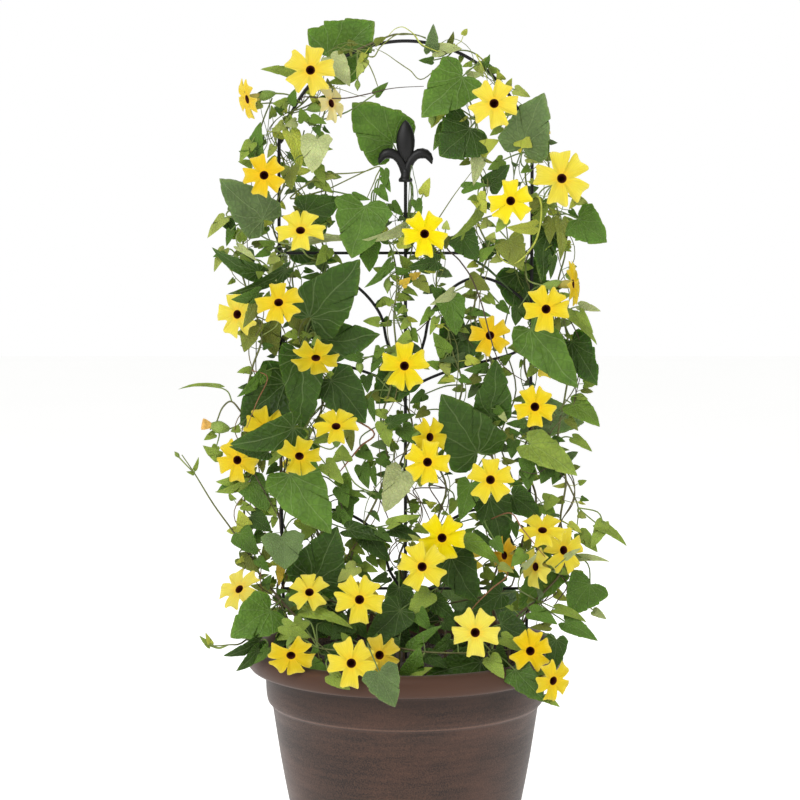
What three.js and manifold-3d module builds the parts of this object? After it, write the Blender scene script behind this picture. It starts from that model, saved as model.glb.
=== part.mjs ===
// A black-eyed susan vine on a black wire trellis in a round brown pot.
// Millimetres, +Z up. The origin is the middle of the pot's underside, and -Y is the front.
import * as THREE from "three";
import { mergeVertices } from "three/addons/utils/BufferGeometryUtils.js";
import Module from "manifold-3d";

const wasm = await Module();
wasm.setup();

// ---------------------------------------------------------------- driving dimensions
const GAP = 0.3; // clearance between pieces that touch
const POT_HEIGHT = 240;
const RIM_RADIUS = 150;
const LIP_HEIGHT = 19;
const COLLAR_RADIUS = 133.5;
const COLLAR_BOTTOM = 184;
const FOOT_RADIUS = 91;
const POT_WALL = 6;
const POT_FLOOR = 9;
const POT_FACETS = 24;
const SOIL_TOP = 221;
const SOIL_CROWN = 4; // the middle of the soil stands this much higher than its edge

const WIRE_RADIUS = 1.6;
const SCROLL_RADIUS = 1.4;
const ARCH_RADIUS = 119;
const ARCH_CENTRE = 693; // height of the arch's centre
const LEG_REACH = [[106, 130], [115.5, 240], [118.5, 400]]; // [x, z] up each leg, from its end
const CROSSBARS = [614, 293]; // heights of the two straight bars
const ROD_TOP = 688;
const ROD_END = 130;

const STEM_RADIUS = 1.3;
const STEM_FOOT = 185; // the stems' lower ends, in the soil
const TWINE_RADIUS = 6.5; // from the wire's middle to the middle of a stem that twines round it
const TWINE_PITCH = 88;
const BLADE_HALF_THICKNESS = 0.6;
const PETIOLE_HALF_WIDTH = 0.9;
const PETIOLE_HALF_THICKNESS = 0.65;
const TUBE_LENGTH = 15; // from a bloom's throat to its bracts
const BRACT_LENGTH = 13;

// The front view is drawn as it looks from here. A leaf or bloom that stands before or behind the
// trellis keeps its place in the front view when it slides along the line to this point.
const EYE = new THREE.Vector3(-5, -2188, 704);

const COLOURS = {
  pot: "#5c4236",
  soil: "#2a2420",
  iron: "#17161a",
  leaf: "#43682c",
};

// ---------------------------------------------------------------- the plant, in its front view
// Stems: [x, z, depth] down their length, in the plane of the trellis, from the soil upwards.
const STEMS = {
  vine_left_outer: [
    [-100, 256, -40], [-120, 282, -34], [-141, 309, -28], [-151, 335, -22], [-154, 374, -16],
    [-148, 417, -20], [-154, 460, -14], [-146, 503, -18], [-136, 536, -14], [-147, 570, -18],
    [-156, 606, -14], [-148, 640, -18], [-135, 673, -14], [-141, 706, -16], [-135, 734, -12],
    [-125, 759, -12],
  ],
  vine_left_inner: [
    [-84, 254, -34], [-91, 291, -26], [-80, 325, -18], [-89, 364, -22], [-101, 398, -16],
    [-93, 436, -20], [-79, 470, -16], [-87, 503, -20], [-94, 536, -15], [-83, 570, -20],
    [-75, 606, -15], [-82, 640, -18], [-75, 673, -14], [-84, 706, -16], [-78, 739, -12],
    [-67, 771, -12],
  ],
  vine_center_left: [
    [-51, 252, -56], [-45, 282, -40], [-53, 316, -28], [-42, 350, -20], [-26, 383, -26],
    [-17, 417, -20], [-24, 451, -16], [-15, 484, -18], [-9, 520, -14], [-11, 553, -16],
    [-8, 589, -14], [-15, 622, -18], [-32, 643, -14], [-50, 653, -16],
  ],
  vine_center_right: [
    [38, 251, -50], [29, 284, -36], [41, 321, -24], [31, 357, -28], [39, 390, -22], [29, 422, -26],
    [44, 455, -20], [54, 489, -22], [44, 522, -18], [38, 555, -22], [29, 584, -16], [33, 617, -20],
    [23, 643, -24],
  ],
  vine_right_inner: [
    [89, 254, -34], [81, 289, -26], [90, 325, -18], [79, 359, -22], [88, 393, -16], [81, 427, -20],
    [75, 460, -16], [84, 494, -20], [76, 527, -16], [65, 555, -18], [70, 589, -15], [78, 617, -20],
    [68, 645, -16], [74, 678, -20], [62, 706, -14], [66, 739, -16], [55, 767, -12],
  ],
  vine_right_outer: [
    [100, 256, -44], [125, 282, -36], [148, 307, -28], [155, 332, -24], [148, 359, -20],
    [153, 398, -24], [145, 436, -18], [151, 475, -22], [156, 513, -18], [150, 551, -22],
    [144, 584, -16], [151, 617, -20], [144, 650, -16], [138, 678, -20], [132, 711, -14],
  ],
  vine_back: [
    [-13, 260, 62], [-63, 278, 52], [-101, 296, 40], [-89, 340, 32], [-104, 388, 38],
    [-93, 436, 30], [-106, 484, 36], [-96, 536, 30], [-107, 589, 36], [-98, 640, 28],
    [-105, 687, 30], [-95, 729, 22],
  ],
  vine_low: [
    [-7, 235, -92], [-32, 233, -104], [-58, 232, -106], [-84, 235, -100], [-109, 242, -84],
  ],
};

// Side shoots: [the stem that each grows from, its points]
const SHOOTS = [
  ["vine_back", [
    [-13, 260, 62], [-38, 260, 84], [-67, 264, 94], [-84, 276, 86],
  ]],
  ["vine_back", [
    [-13, 260, 62], [18, 260, 86], [52, 264, 92], [83, 276, 80],
  ]],
  ["vine_back", [
    [-13, 260, 62], [33, 276, 54], [102, 296, 40], [90, 340, 32], [104, 388, 38], [90, 436, 30],
    [105, 484, 36], [93, 536, 30], [104, 589, 36], [95, 640, 28], [102, 687, 30], [92, 729, 22],
  ]],
  ["vine_low", [
    [-7, 235, -92], [19, 231, -104], [51, 230, -106], [83, 231, -100], [110, 236, -86],
    [134, 243, -66],
  ]],
  ["vine_left_outer", [
    [-145, 312, -24], [-162, 344, -18], [-183, 374, -14], [-201, 404, -10], [-213, 422, -8],
  ]],
  ["vine_left_outer", [
    [-154, 460, -14], [-165, 473, -14], [-174, 467, -14], [-180, 453, -13], [-186, 446, -12],
  ]],
  ["vine_left_outer", [
    [-138, 247, -40], [-153, 243, -60], [-170, 238, -62], [-188, 237, -62],
  ]],
  ["vine_right_outer", [
    [153, 398, -24], [159, 386, -22], [165, 371, -20], [164, 353, -18],
  ]],
  ["vine_left_leg", [
    [-23, 810, -6], [-14, 817, -8], [-3, 818, -10], [8, 818, -10], [19, 815, -8],
  ]],
];

// Blooms: [name, x, z, diameter, depth, turned to the right, turned up, petal angles, colour].
// The angles are degrees in the front view, anticlockwise from the right.
const BLOOMS = [
  ["b1", -89, 785, 47, -58, 0, 6, [6, 78, 150, 222, 294], "f2d94a"],
  ["b2", -148, 758, 39, -30, -62, -12, [20], "f0cf40"],
  ["b3", -70, 754, 36, -12, 52, 10, [30], "f8e8a0"],
  ["b4", -133, 687, 40, -58, 0, 6, [38, 110, 182, 254, 326], "f0c81e"],
  ["b5", -99, 635, 46, -62, 0, 38, [125, 58, -5, 270, 190], "fbe648"],
  ["b6", -120, 567, 44, -62, 0, 34, [95, 20, -40, -100, 190], "f5d52a"],
  ["b7", -159, 556, 44, -20, -25, 5, [40], "efdc52"],
  ["b8", -85, 515, 45, -64, 0, -38, [80], "d9c01e"],
  ["b9", 83, 754, 46, -56, 0, 6, [62, 130, 208, 285, 355], "f8e04a"],
  ["b10", 147, 684, 52, -58, 0, 8, [95, 40, -35, -100, 170], "f0dc48"],
  ["b11", 99, 663, 42, -60, 0, 6, [92, 22, -42, -122, 190], "ffe820"],
  ["b12", 18, 632, 43, -58, 0, 8, [58, 125, 188, -92, -20], "ffe800"],
  ["b13", 133, 561, 44, -66, 0, 6, [115, 50, 0, -95, 185], "f5d828"],
  ["b14", 158, 585, 43, -50, 72, 5, [90], "f0cc20"],
  ["b15", 80, 536, 38, -56, 0, 6, [100, 30, -42, -114, 172], "e8c018"],
  ["b16", -1, 507, 45, -54, 0, 6, [90, 20, -60, -115, 170], "f2d818"],
  ["b17", 123, 468, 40, -66, 0, 6, [115, 55, -20, -90, 195], "f4d41c"],
  ["b18", -66, 449, 43, -62, 0, 46, [130, 50, 5, -90, 190], "f6dc30"],
  ["b19", -133, 448, 41, -30, 0, 8, [110, 35, 165, -40, -110], "f2d222"],
  ["b20", -101, 421, 41, -66, 0, -20, [148, 70, 5, -60, -110], "dcc420"],
  ["b21", -160, 417, 42, -30, -15, 6, [90], "efcf28"],
  ["b22", 23, 439, 39, -52, 34, 6, [90], "f4d820"],
  ["b23", 21, 415, 43, -68, 0, 6, [150, 80, -5, -85, 215], "f8dc20"],
  ["b24", 81, 398, 44, -66, 0, 14, [90, 15, -50, -125, 155], "f6dc30"],
  ["b25", 35, 342, 45, -70, 0, 6, [128, 55, -2, -72, 205], "ffe600"],
  ["b26", 16, 314, 47, -86, 0, 6, [165, 110, 40, -30, -120], "fae33c"],
  ["b27", 131, 349, 44, -60, 0, 54, [90], "fbe23c"],
  ["b28", 151, 330, 45, -66, 30, 8, [60], "f7e040"],
  ["b29", 95, 325, 36, -56, -50, 4, [90], "d8a820"],
  ["b30", 125, 314, 41, -68, -52, 6, [90], "f8e860"],
  ["b31", -159, 292, 44, -44, -36, 36, [20], "f4e060"],
  ["b32", -92, 289, 40, -84, 0, 38, [95, 35, -50, 215, 150], "f8e24a"],
  ["b33", -44, 282, 48, -104, 0, 22, [130, 55, -10, -90, 185], "fae23c"],
  ["b34", 67, 250, 47, -128, 0, 12, [125, 55, -8, -90, 188], "fdea5a"],
  ["b35", 120, 232, 41, -120, 0, 6, [75, 125, 18, -50, -145], "f2cc10"],
  ["b36", 142, 203, 41, -104, 34, -4, [30], "f4d428"],
  ["b37", -110, 228, 45, -126, 0, -22, [165, 50, -15, -75, 220], "e8c820"],
  ["b38", -52, 220, 48, -154, 0, 12, [115, 45, -20, -95, 180], "fae040"],
  ["b39", -25, 228, 40, -132, 12, 6, [40], "e6c83a"],
  ["b40", -151, 659, 34, 60, 150, 8, [20], "f2d22a"],
  ["b41", 116, 728, 42, 52, -165, 10, [50], "f7dc38"],
  ["b42", 135, 516, 42, 62, -150, 4, [10], "f0cf26"],
  ["b43", -101, 406, 40, 64, 170, 12, [35], "f6d930"],
  ["b44", 56, 324, 42, 74, -172, 6, [60], "fbe23c"],
  ["b45", -43, 281, 40, 88, 160, 14, [5], "f4d428"],
];

// Leaves: [base x, base z, tip x, tip z, depth, how much deeper the tip is, roll, width]
const LEAVES = [
  [69, 424, 34, 480, -26, -10, 0, 59], [-89, 553, -43, 608, -32, -12, 0, 57],
  [-12, 717, -50, 755, 14, -8, 5, 57], [-87, 299, -65, 353, -30, -10, 0, 55],
  [-39, 658, -51, 609, -30, -10, 5, 53], [-114, 492, -157, 450, -18, -8, 0, 53],
  [-110, 403, -71, 346, -32, -14, 0, 53], [108, 596, 127, 545, -14, -6, 0, 49],
  [-70, 797, -29, 830, -16, -12, 10, 48], [110, 713, 130, 764, -28, -12, 0, 48],
  [53, 779, 15, 741, -26, -12, 0, 48], [57, 545, 38, 497, -20, -8, 0, 46],
  [-134, 645, -175, 684, -34, -12, 0, 44], [-70, 494, -38, 452, -20, -6, 0, 44],
  [119, 542, 164, 486, -36, -14, 0, 44], [60, 731, 39, 701, -20, -8, 0, 44],
  [118, 457, 170, 453, -20, -10, -10, 44], [-130, 272, -168, 245, -60, -12, 0, 44],
  [-100, 517, -99, 445, -28, -12, -10, 43], [-85, 530, -24, 537, -26, -8, 5, 42],
  [-3, 501, -28, 471, -14, -6, 0, 42], [43, 324, 68, 280, -40, -8, 0, 42],
  [-70, 279, -96, 269, 92, 24, 0, 42], [18, 278, 39, 270, 98, 24, 0, 42],
  [177, 297, 158, 268, -30, -8, 0, 40], [73, 223, 20, 208, -112, -10, -10, 40],
  [-118, 343, -115, 311, -44, -8, 0, 40], [80, 459, 86, 513, -22, -8, 10, 38],
  [141, 315, 108, 273, -34, -10, 0, 38], [54, 279, 77, 270, 92, 24, 0, 38],
  [-84, 284, -120, 276, 80, 18, 0, 38], [-106, 448, -167, 432, -36, -10, -25, 36],
  [163, 646, 190, 624, -28, -8, 0, 36], [81, 380, 95, 330, -28, -10, 0, 36],
  [-25, 211, -10, 177, -146, -12, 0, 36], [-28, 278, -30, 269, 98, 62, 0, 36],
  [83, 282, 118, 274, 80, 45, 0, 36], [-95, 653, -60, 665, -20, -8, 15, 34],
  [158, 530, 182, 488, -22, -8, 10, 34], [-5, 272, -38, 238, -80, -10, 0, 34],
  [43, 282, 64, 311, 84, 20, 185, 34], [119, 432, 164, 402, -30, -8, -15, 32],
  [-53, 282, -72, 306, 84, 20, 175, 32], [-5, 278, -7, 306, 92, 22, 180, 32],
  [-83, 721, -88, 689, -30, -10, 15, 30], [-3, 405, -20, 367, -28, -8, 0, 30],
  [91, 258, 125, 237, -78, -8, -10, 30], [-100, 558, -92, 528, -16, -6, 10, 28],
  [97, 626, 110, 598, -22, -6, 0, 28], [53, 630, 68, 607, -22, -6, 0, 28],
  [102, 382, 129, 361, -18, -6, 0, 28], [106, 213, 134, 182, -104, -10, 0, 28],
  [-148, 396, -131, 367, -22, -5, 0, 28], [42, 570, 48, 536, -24, -8, -10, 27],
  [132, 634, 128, 586, -18, -8, -10, 26], [-88, 656, -77, 628, -8, -4, -15, 25],
  [-36, 624, -34, 596, -16, -6, -20, 25], [158, 471, 185, 449, -24, -6, -20, 25],
  [62, 394, 52, 359, -34, -8, -10, 25], [-9, 254, 4, 233, -70, -5, 0, 25],
  [-6, 293, -5, 260, -44, -6, -10, 25], [92, 288, 64, 272, -40, -8, -20, 25],
  [6, 208, 14, 236, -110, -6, 0, 24], [-70, 796, -52, 770, 2, -6, -20, 23],
  [-139, 596, -183, 619, -26, -8, -40, 23], [-103, 617, -62, 606, -22, -4, 20, 23],
  [-145, 549, -153, 520, -20, -6, 0, 23], [-130, 545, -123, 516, -16, -4, 0, 23],
  [-38, 346, -15, 319, -26, -5, 0, 23], [145, 243, 141, 209, -90, -6, 0, 23],
  [-95, 260, -74, 245, -70, -4, 0, 23], [-158, 346, -141, 326, -30, -5, 0, 23],
  [-55, 260, -72, 243, -84, -8, 0, 23], [-140, 704, -136, 737, -14, -8, -35, 21],
  [68, 720, 64, 677, -24, -8, -25, 21], [79, 677, 98, 697, -18, -6, 0, 21],
  [58, 339, 91, 316, -50, -6, -35, 21], [22, 288, 2, 266, -70, -6, 0, 21],
  [-120, 252, -91, 250, -88, -6, -15, 21], [-147, 363, -128, 348, -24, -4, 0, 21],
  [-108, 727, -99, 691, -16, -6, -30, 19], [-108, 694, -107, 673, -26, -6, 20, 19],
  [-103, 621, -45, 626, -40, -10, -55, 19], [-114, 598, -168, 575, -24, -8, -45, 19],
  [154, 260, 185, 242, -55, -6, -20, 19], [-55, 350, -15, 338, -34, -6, -30, 19],
  [-60, 417, -60, 432, -34, -3, 0, 19], [27, 282, 50, 260, -52, -6, 10, 19],
  [82, 225, 95, 205, -112, -6, 0, 18],
];

// Closed buds: [x, z, depth, turned to the right, turned up]
const BUDS = [
  [-45, 768, -12, 0, -70],
  [-17, 579, -16, 0, -75],
  [-43, 502, -24, 10, -50],
  [-192, 452, -14, -80, -6],
  [-219, 424, -8, -50, 50],
  [25, 735, -22, 0, -60],
];

// ---------------------------------------------------------------- helpers
const V = (x, y, z) => new THREE.Vector3(x, y, z);

// The point at this depth that looks, from EYE, to be at x, z in the plane of the trellis.
function seen(x, z, depth) {
  return EYE.clone().lerp(V(x, 0, z), (depth - EYE.y) / -EYE.y);
}

const nearer = (depth) => (depth - EYE.y) / -EYE.y; // how a size shrinks with that slide

function geometryOf(vertices, faces) {
  const geometry = new THREE.BufferGeometry();
  const flat = vertices.flatMap((p) => [p.x, p.y, p.z]);
  geometry.setAttribute("position", new THREE.Float32BufferAttribute(flat, 3));
  geometry.setIndex(faces.flat());
  return geometry;
}

// A three.js geometry, closed and facing out, as a manifold-3d solid.
function solidOf(geometry) {
  const bare = geometry.clone();
  bare.deleteAttribute("normal");
  bare.deleteAttribute("uv");
  const merged = mergeVertices(bare, 1e-4);
  return new wasm.Manifold(
    new wasm.Mesh({
      numProp: 3,
      vertProperties: new Float32Array(merged.attributes.position.array),
      triVerts: new Uint32Array(merged.index.array),
    }),
  );
}

function meshOf(name, solid, colour, roughness, metalness = 0) {
  const { vertProperties, triVerts } = solid.getMesh();
  const geometry = new THREE.BufferGeometry();
  geometry.setAttribute("position", new THREE.BufferAttribute(vertProperties, 3));
  geometry.setIndex(new THREE.BufferAttribute(triVerts, 1));
  geometry.computeVertexNormals();
  const material = new THREE.MeshStandardMaterial({ color: colour, roughness, metalness });
  const mesh = new THREE.Mesh(geometry, material);
  mesh.name = name;
  return mesh;
}

const join = (solids) => wasm.Manifold.union(solids);

// A wire along points: an extruded polygon, closed at both ends, with a section at each point.
function wire(points, radius, sides) {
  const section = new THREE.Shape();
  for (let i = 0; i < sides; i++) {
    const turn = (2 * Math.PI * i) / sides;
    section[i ? "lineTo" : "moveTo"](radius * Math.cos(turn), radius * Math.sin(turn));
  }
  const path = new THREE.CatmullRomCurve3(points, false, "catmullrom", 0.5);
  path.getPointAt = path.getPoint;
  path.getTangentAt = path.getTangent;
  const steps = points.length - 1;
  const bevelEnabled = false;
  return new THREE.ExtrudeGeometry(section, { steps, extrudePath: path, bevelEnabled });
}

// A tapering stalk: one ring of `sides` points round each given point. With a radius of 0 it
// starts in a point.
function stalk(points, radii, sides) {
  const vertices = [];
  const faces = [];
  let side = null;
  points.forEach((point, i) => {
    const before = points[Math.max(i - 1, 0)];
    const after = points[Math.min(i + 1, points.length - 1)];
    const along = after.clone().sub(before).normalize();
    side ??= Math.abs(along.y) < 0.9 ? V(0, 1, 0) : V(1, 0, 0);
    side = side.clone().addScaledVector(along, -side.dot(along)).normalize();
    const across = along.clone().cross(side);
    for (let k = 0; k < sides; k++) {
      const turn = (2 * Math.PI * k) / sides;
      const out = side.clone().multiplyScalar(Math.cos(turn)).addScaledVector(across, Math.sin(turn));
      vertices.push(point.clone().addScaledVector(out, radii[i]));
    }
  });
  for (let i = 0; i + 1 < points.length; i++)
    for (let k = 0; k < sides; k++) {
      const a = i * sides + k;
      const b = i * sides + ((k + 1) % sides);
      faces.push([a, b, b + sides], [a, b + sides, a + sides]);
    }
  const end = (points.length - 1) * sides;
  for (let k = 1; k + 1 < sides; k++) {
    if (radii[0]) faces.push([0, k + 1, k]);
    faces.push([end, end + k, end + k + 1]);
  }
  if (radii[0]) return geometryOf(vertices, faces);
  const split = (face) => face.every((k) => k >= sides) || face.filter((k) => k < sides).length < 2;
  return geometryOf(vertices, faces.filter(split));
}

// ---------------------------------------------------------------- pot and soil
function turned(profile, facets) {
  const points = profile.map(([r, z]) => new THREE.Vector2(r, z));
  return new THREE.LatheGeometry(points, facets).rotateX(Math.PI / 2);
}

function potInside(z) {
  // the inner wall follows the outside: [height, radius]
  const wall = [
    [POT_FLOOR, FOOT_RADIUS - POT_WALL],
    [95, 107],
    [150, 116.8],
    [COLLAR_BOTTOM, 122],
    [POT_HEIGHT - LIP_HEIGHT, 126.5],
    [POT_HEIGHT - 6, 133],
  ];
  const above = wall.findIndex(([height]) => height >= z);
  const [z1, r1] = wall[Math.max(above, 1)];
  const [z0, r0] = wall[Math.max(above, 1) - 1];
  return r0 + ((r1 - r0) * (z - z0)) / (z1 - z0);
}

function makePot() {
  const lipBottom = POT_HEIGHT - LIP_HEIGHT;
  const profile = [
    [0, 0],
    [FOOT_RADIUS - 3, 0],
    [FOOT_RADIUS, 3],
    [101.5, 42],
    [112.8, 92],
    [120.3, 133],
    [127, COLLAR_BOTTOM - 6],
    [129.6, COLLAR_BOTTOM - 3],
    [131.8, COLLAR_BOTTOM + 1],
    [132.4, COLLAR_BOTTOM + 7],
    [COLLAR_RADIUS, lipBottom - 1],
    [RIM_RADIUS - 3, lipBottom + 1],
    [RIM_RADIUS, lipBottom + 8],
    [RIM_RADIUS - 2, POT_HEIGHT - 3],
    [RIM_RADIUS - 7, POT_HEIGHT],
    [RIM_RADIUS - 13, POT_HEIGHT - 2],
    [potInside(lipBottom + 8), lipBottom + 8],
    [potInside(lipBottom), lipBottom],
    [potInside(COLLAR_BOTTOM), COLLAR_BOTTOM],
    [potInside(95), 95],
    [potInside(POT_FLOOR), POT_FLOOR],
    [0, POT_FLOOR],
  ];
  return solidOf(turned(profile, POT_FACETS));
}

function makeSoil(holes) {
  // every facet line of the soil lies GAP inside a facet line of the wall
  const edge = (z) => potInside(z) - 2 * GAP;
  const profile = [
    [0, POT_FLOOR + GAP],
    [edge(POT_FLOOR) - 1, POT_FLOOR + GAP],
    [edge(95), 95],
    [edge(COLLAR_BOTTOM), COLLAR_BOTTOM],
    [edge(SOIL_TOP), SOIL_TOP],
    [0, SOIL_TOP + SOIL_CROWN],
  ];
  const filling = solidOf(turned(profile, POT_FACETS));
  return holes.length ? filling.subtract(join(holes)) : filling;
}

// ---------------------------------------------------------------- trellis and finial
function archPoints() {
  const points = LEG_REACH.map(([x, z]) => V(-x, 0, z));
  const turns = 14;
  for (let i = 0; i <= turns; i++) {
    const angle = Math.PI * (1 - i / turns);
    points.push(V(ARCH_RADIUS * Math.cos(angle), 0, ARCH_CENTRE + ARCH_RADIUS * Math.sin(angle)));
  }
  return points.concat(LEG_REACH.map(([x, z]) => V(x, 0, z)).reverse());
}

// The straight parts and the arch, which also cut their own holes in the soil when grown.
function posts(grow) {
  const arch = archPoints();
  for (const end of [arch[0], arch.at(-1)]) end.z -= 2 * grow;
  const rod = [V(0, 0, ROD_END - 2 * grow), V(0, 0, ROD_TOP)];
  return [arch, rod].map((points) => solidOf(wire(points, WIRE_RADIUS + grow, 6)));
}

// One scroll of the right-hand side, as [x, z] points. The left one mirrors it.
const UPPER_SCROLL = [
  [0, 506], [12, 516], [18, 532], [23, 554], [36, 573], [52, 586], [70, 591], [88, 586],
  [104, 576], [ARCH_RADIUS, 562],
];
const LOWER_SCROLL = [[0, 480], [16, 492], [46, 504], [78, 512], [104, 520], [ARCH_RADIUS, 534]];
const LOWER_ARCH = [
  [0, 287], [14, 308], [20, 326], [30, 348], [48, 362], [70, 369], [92, 356], [106, 328],
  [ARCH_RADIUS - 1, 297],
];

function makeTrellis() {
  const pieces = posts(0);
  for (const height of CROSSBARS) {
    const half = ARCH_RADIUS + 0.4;
    pieces.push(solidOf(wire([V(-half, 0, height), V(half, 0, height)], SCROLL_RADIUS, 5)));
  }
  for (const side of [-1, 1])
    for (const scroll of [UPPER_SCROLL, LOWER_SCROLL, LOWER_ARCH]) {
      const points = scroll.map(([x, z]) => V(side * x, 0, z));
      pieces.push(solidOf(wire(points, SCROLL_RADIUS, 5)));
    }
  return join(pieces);
}

// A cast fleur-de-lis with a blind socket that stands over the rod's end.
function makeFinial() {
  const leaf = turned([[0, 697], [5.8, 704], [8.4, 712], [8.8, 720], [6.6, 729], [0, 738.5]], 8);
  const collar = turned([[0, 680.6], [6.4, 681], [6.2, 684], [4.4, 686.4], [4.4, 692], [0, 694]], 8);
  const pieces = [solidOf(leaf.scale(1, 0.55, 1)), solidOf(collar)];
  const arm = [[0, 686.5], [2.6, 696], [9, 705.4], [16, 707.6], [21.6, 705], [24.7, 698]];
  const radii = [4, 4.1, 4.3, 4.9, 3.8, 0.8];
  for (const side of [-1, 1])
    pieces.push(solidOf(stalk(arm.map(([x, z]) => V(side * x, 0, z)), radii, 6)));
  const socket = new THREE.CylinderGeometry(WIRE_RADIUS + GAP, WIRE_RADIUS + GAP, 40, 6);
  socket.rotateX(Math.PI / 2).translate(0, 0, ROD_TOP + GAP - 20);
  return join(pieces).subtract(solidOf(socket));
}

// ---------------------------------------------------------------- stems
// A stem that twines up one leg and on over the arch, or up the rod.
function twine(path, start) {
  const points = [];
  const line = new THREE.CatmullRomCurve3(path, false, "catmullrom", 0.5);
  const total = Math.round((6 * line.getLength()) / TWINE_PITCH);
  const first = THREE.MathUtils.degToRad(start);
  for (let i = 0; i <= total; i++) {
    const at = line.getPointAt(i / total);
    const along = line.getTangentAt(i / total);
    const front = V(0, -1, 0);
    const out = along.clone().cross(front);
    const angle = first + (i / 6) * 2 * Math.PI;
    at.addScaledVector(front, TWINE_RADIUS * Math.cos(angle));
    points.push(at.addScaledVector(out, TWINE_RADIUS * Math.sin(angle)));
  }
  return points;
}

function archAngles(from, to, side) {
  const points = [];
  for (let angle = from; angle <= to; angle += 15) {
    const turn = THREE.MathUtils.degToRad(angle);
    const x = side * ARCH_RADIUS * Math.cos(turn);
    points.push(V(x, 0, ARCH_CENTRE + ARCH_RADIUS * Math.sin(turn)));
  }
  return points;
}

// The stem goes straight down into the soil below its first point.
function footed(points) {
  const { x, y } = points[0];
  return [V(x, y, STEM_FOOT), V(x, y, SOIL_TOP + SOIL_CROWN + 3), ...points];
}

function stemPoints() {
  const stems = new Map();
  const leg = (side) => [
    V(side * LEG_REACH[1][0], 0, 250),
    V(side * LEG_REACH[2][0], 0, 400),
    ...archAngles(0, 75, side),
  ];
  const ends = [V(0, 0, 250), V(0, 0, 450), V(0, 0, 655)];
  // each starts at the angle that takes it past the bars and scrolls on their free side
  stems.set("vine_left_leg", footed(twine(leg(-1), 110)));
  stems.set("vine_right_leg", footed(twine(leg(1), 290)));
  stems.set("vine_rod", footed(twine(ends, -14)));
  for (const [name, points] of Object.entries(STEMS)) {
    const placed = points.map(([x, z, depth]) => seen(x, z, depth));
    stems.set(name, footed(placed));
  }
  return stems;
}

// ---------------------------------------------------------------- leaves
// Half outlines, from the tip round to the base: [share of the length, share of the width].
// The coarse teeth and the two pointed lobes beside the stalk are cut into them.
const LARGE_HALF = [
  [0.84, 0.17], [0.63, 0.31], [0.54, 0.34], [0.31, 0.46], [0.21, 0.44], [0, 0.52],
  [-0.16, 0.33], [-0.1, 0.1],
];
const MEDIUM_HALF = [
  [0.72, 0.23], [0.48, 0.38], [0.38, 0.37], [0, 0.51], [-0.15, 0.27],
];
const LARGE_MIDRIB = [0.16, 0.45, 0.74];
const MEDIUM_MIDRIB = [0.22, 0.58];
const LARGE_WIDTH = 36; // a leaf this wide or wider has the large outline
const FOLD = 0.2; // how steeply each half rises from the midrib
const CAMBER = 0.08; // how far the midrib arches, as a share of the length

// The frame of a leaf: along its midrib, across it and out of its upper face.
function leafFrame(base, tip, roll) {
  const along = tip.clone().sub(base).normalize();
  const out = EYE.clone().sub(base).normalize();
  out.addScaledVector(along, -out.dot(along)).normalize();
  out.applyAxisAngle(along, THREE.MathUtils.degToRad(roll));
  return { along, out, across: out.clone().cross(along), length: tip.distanceTo(base) };
}

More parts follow.
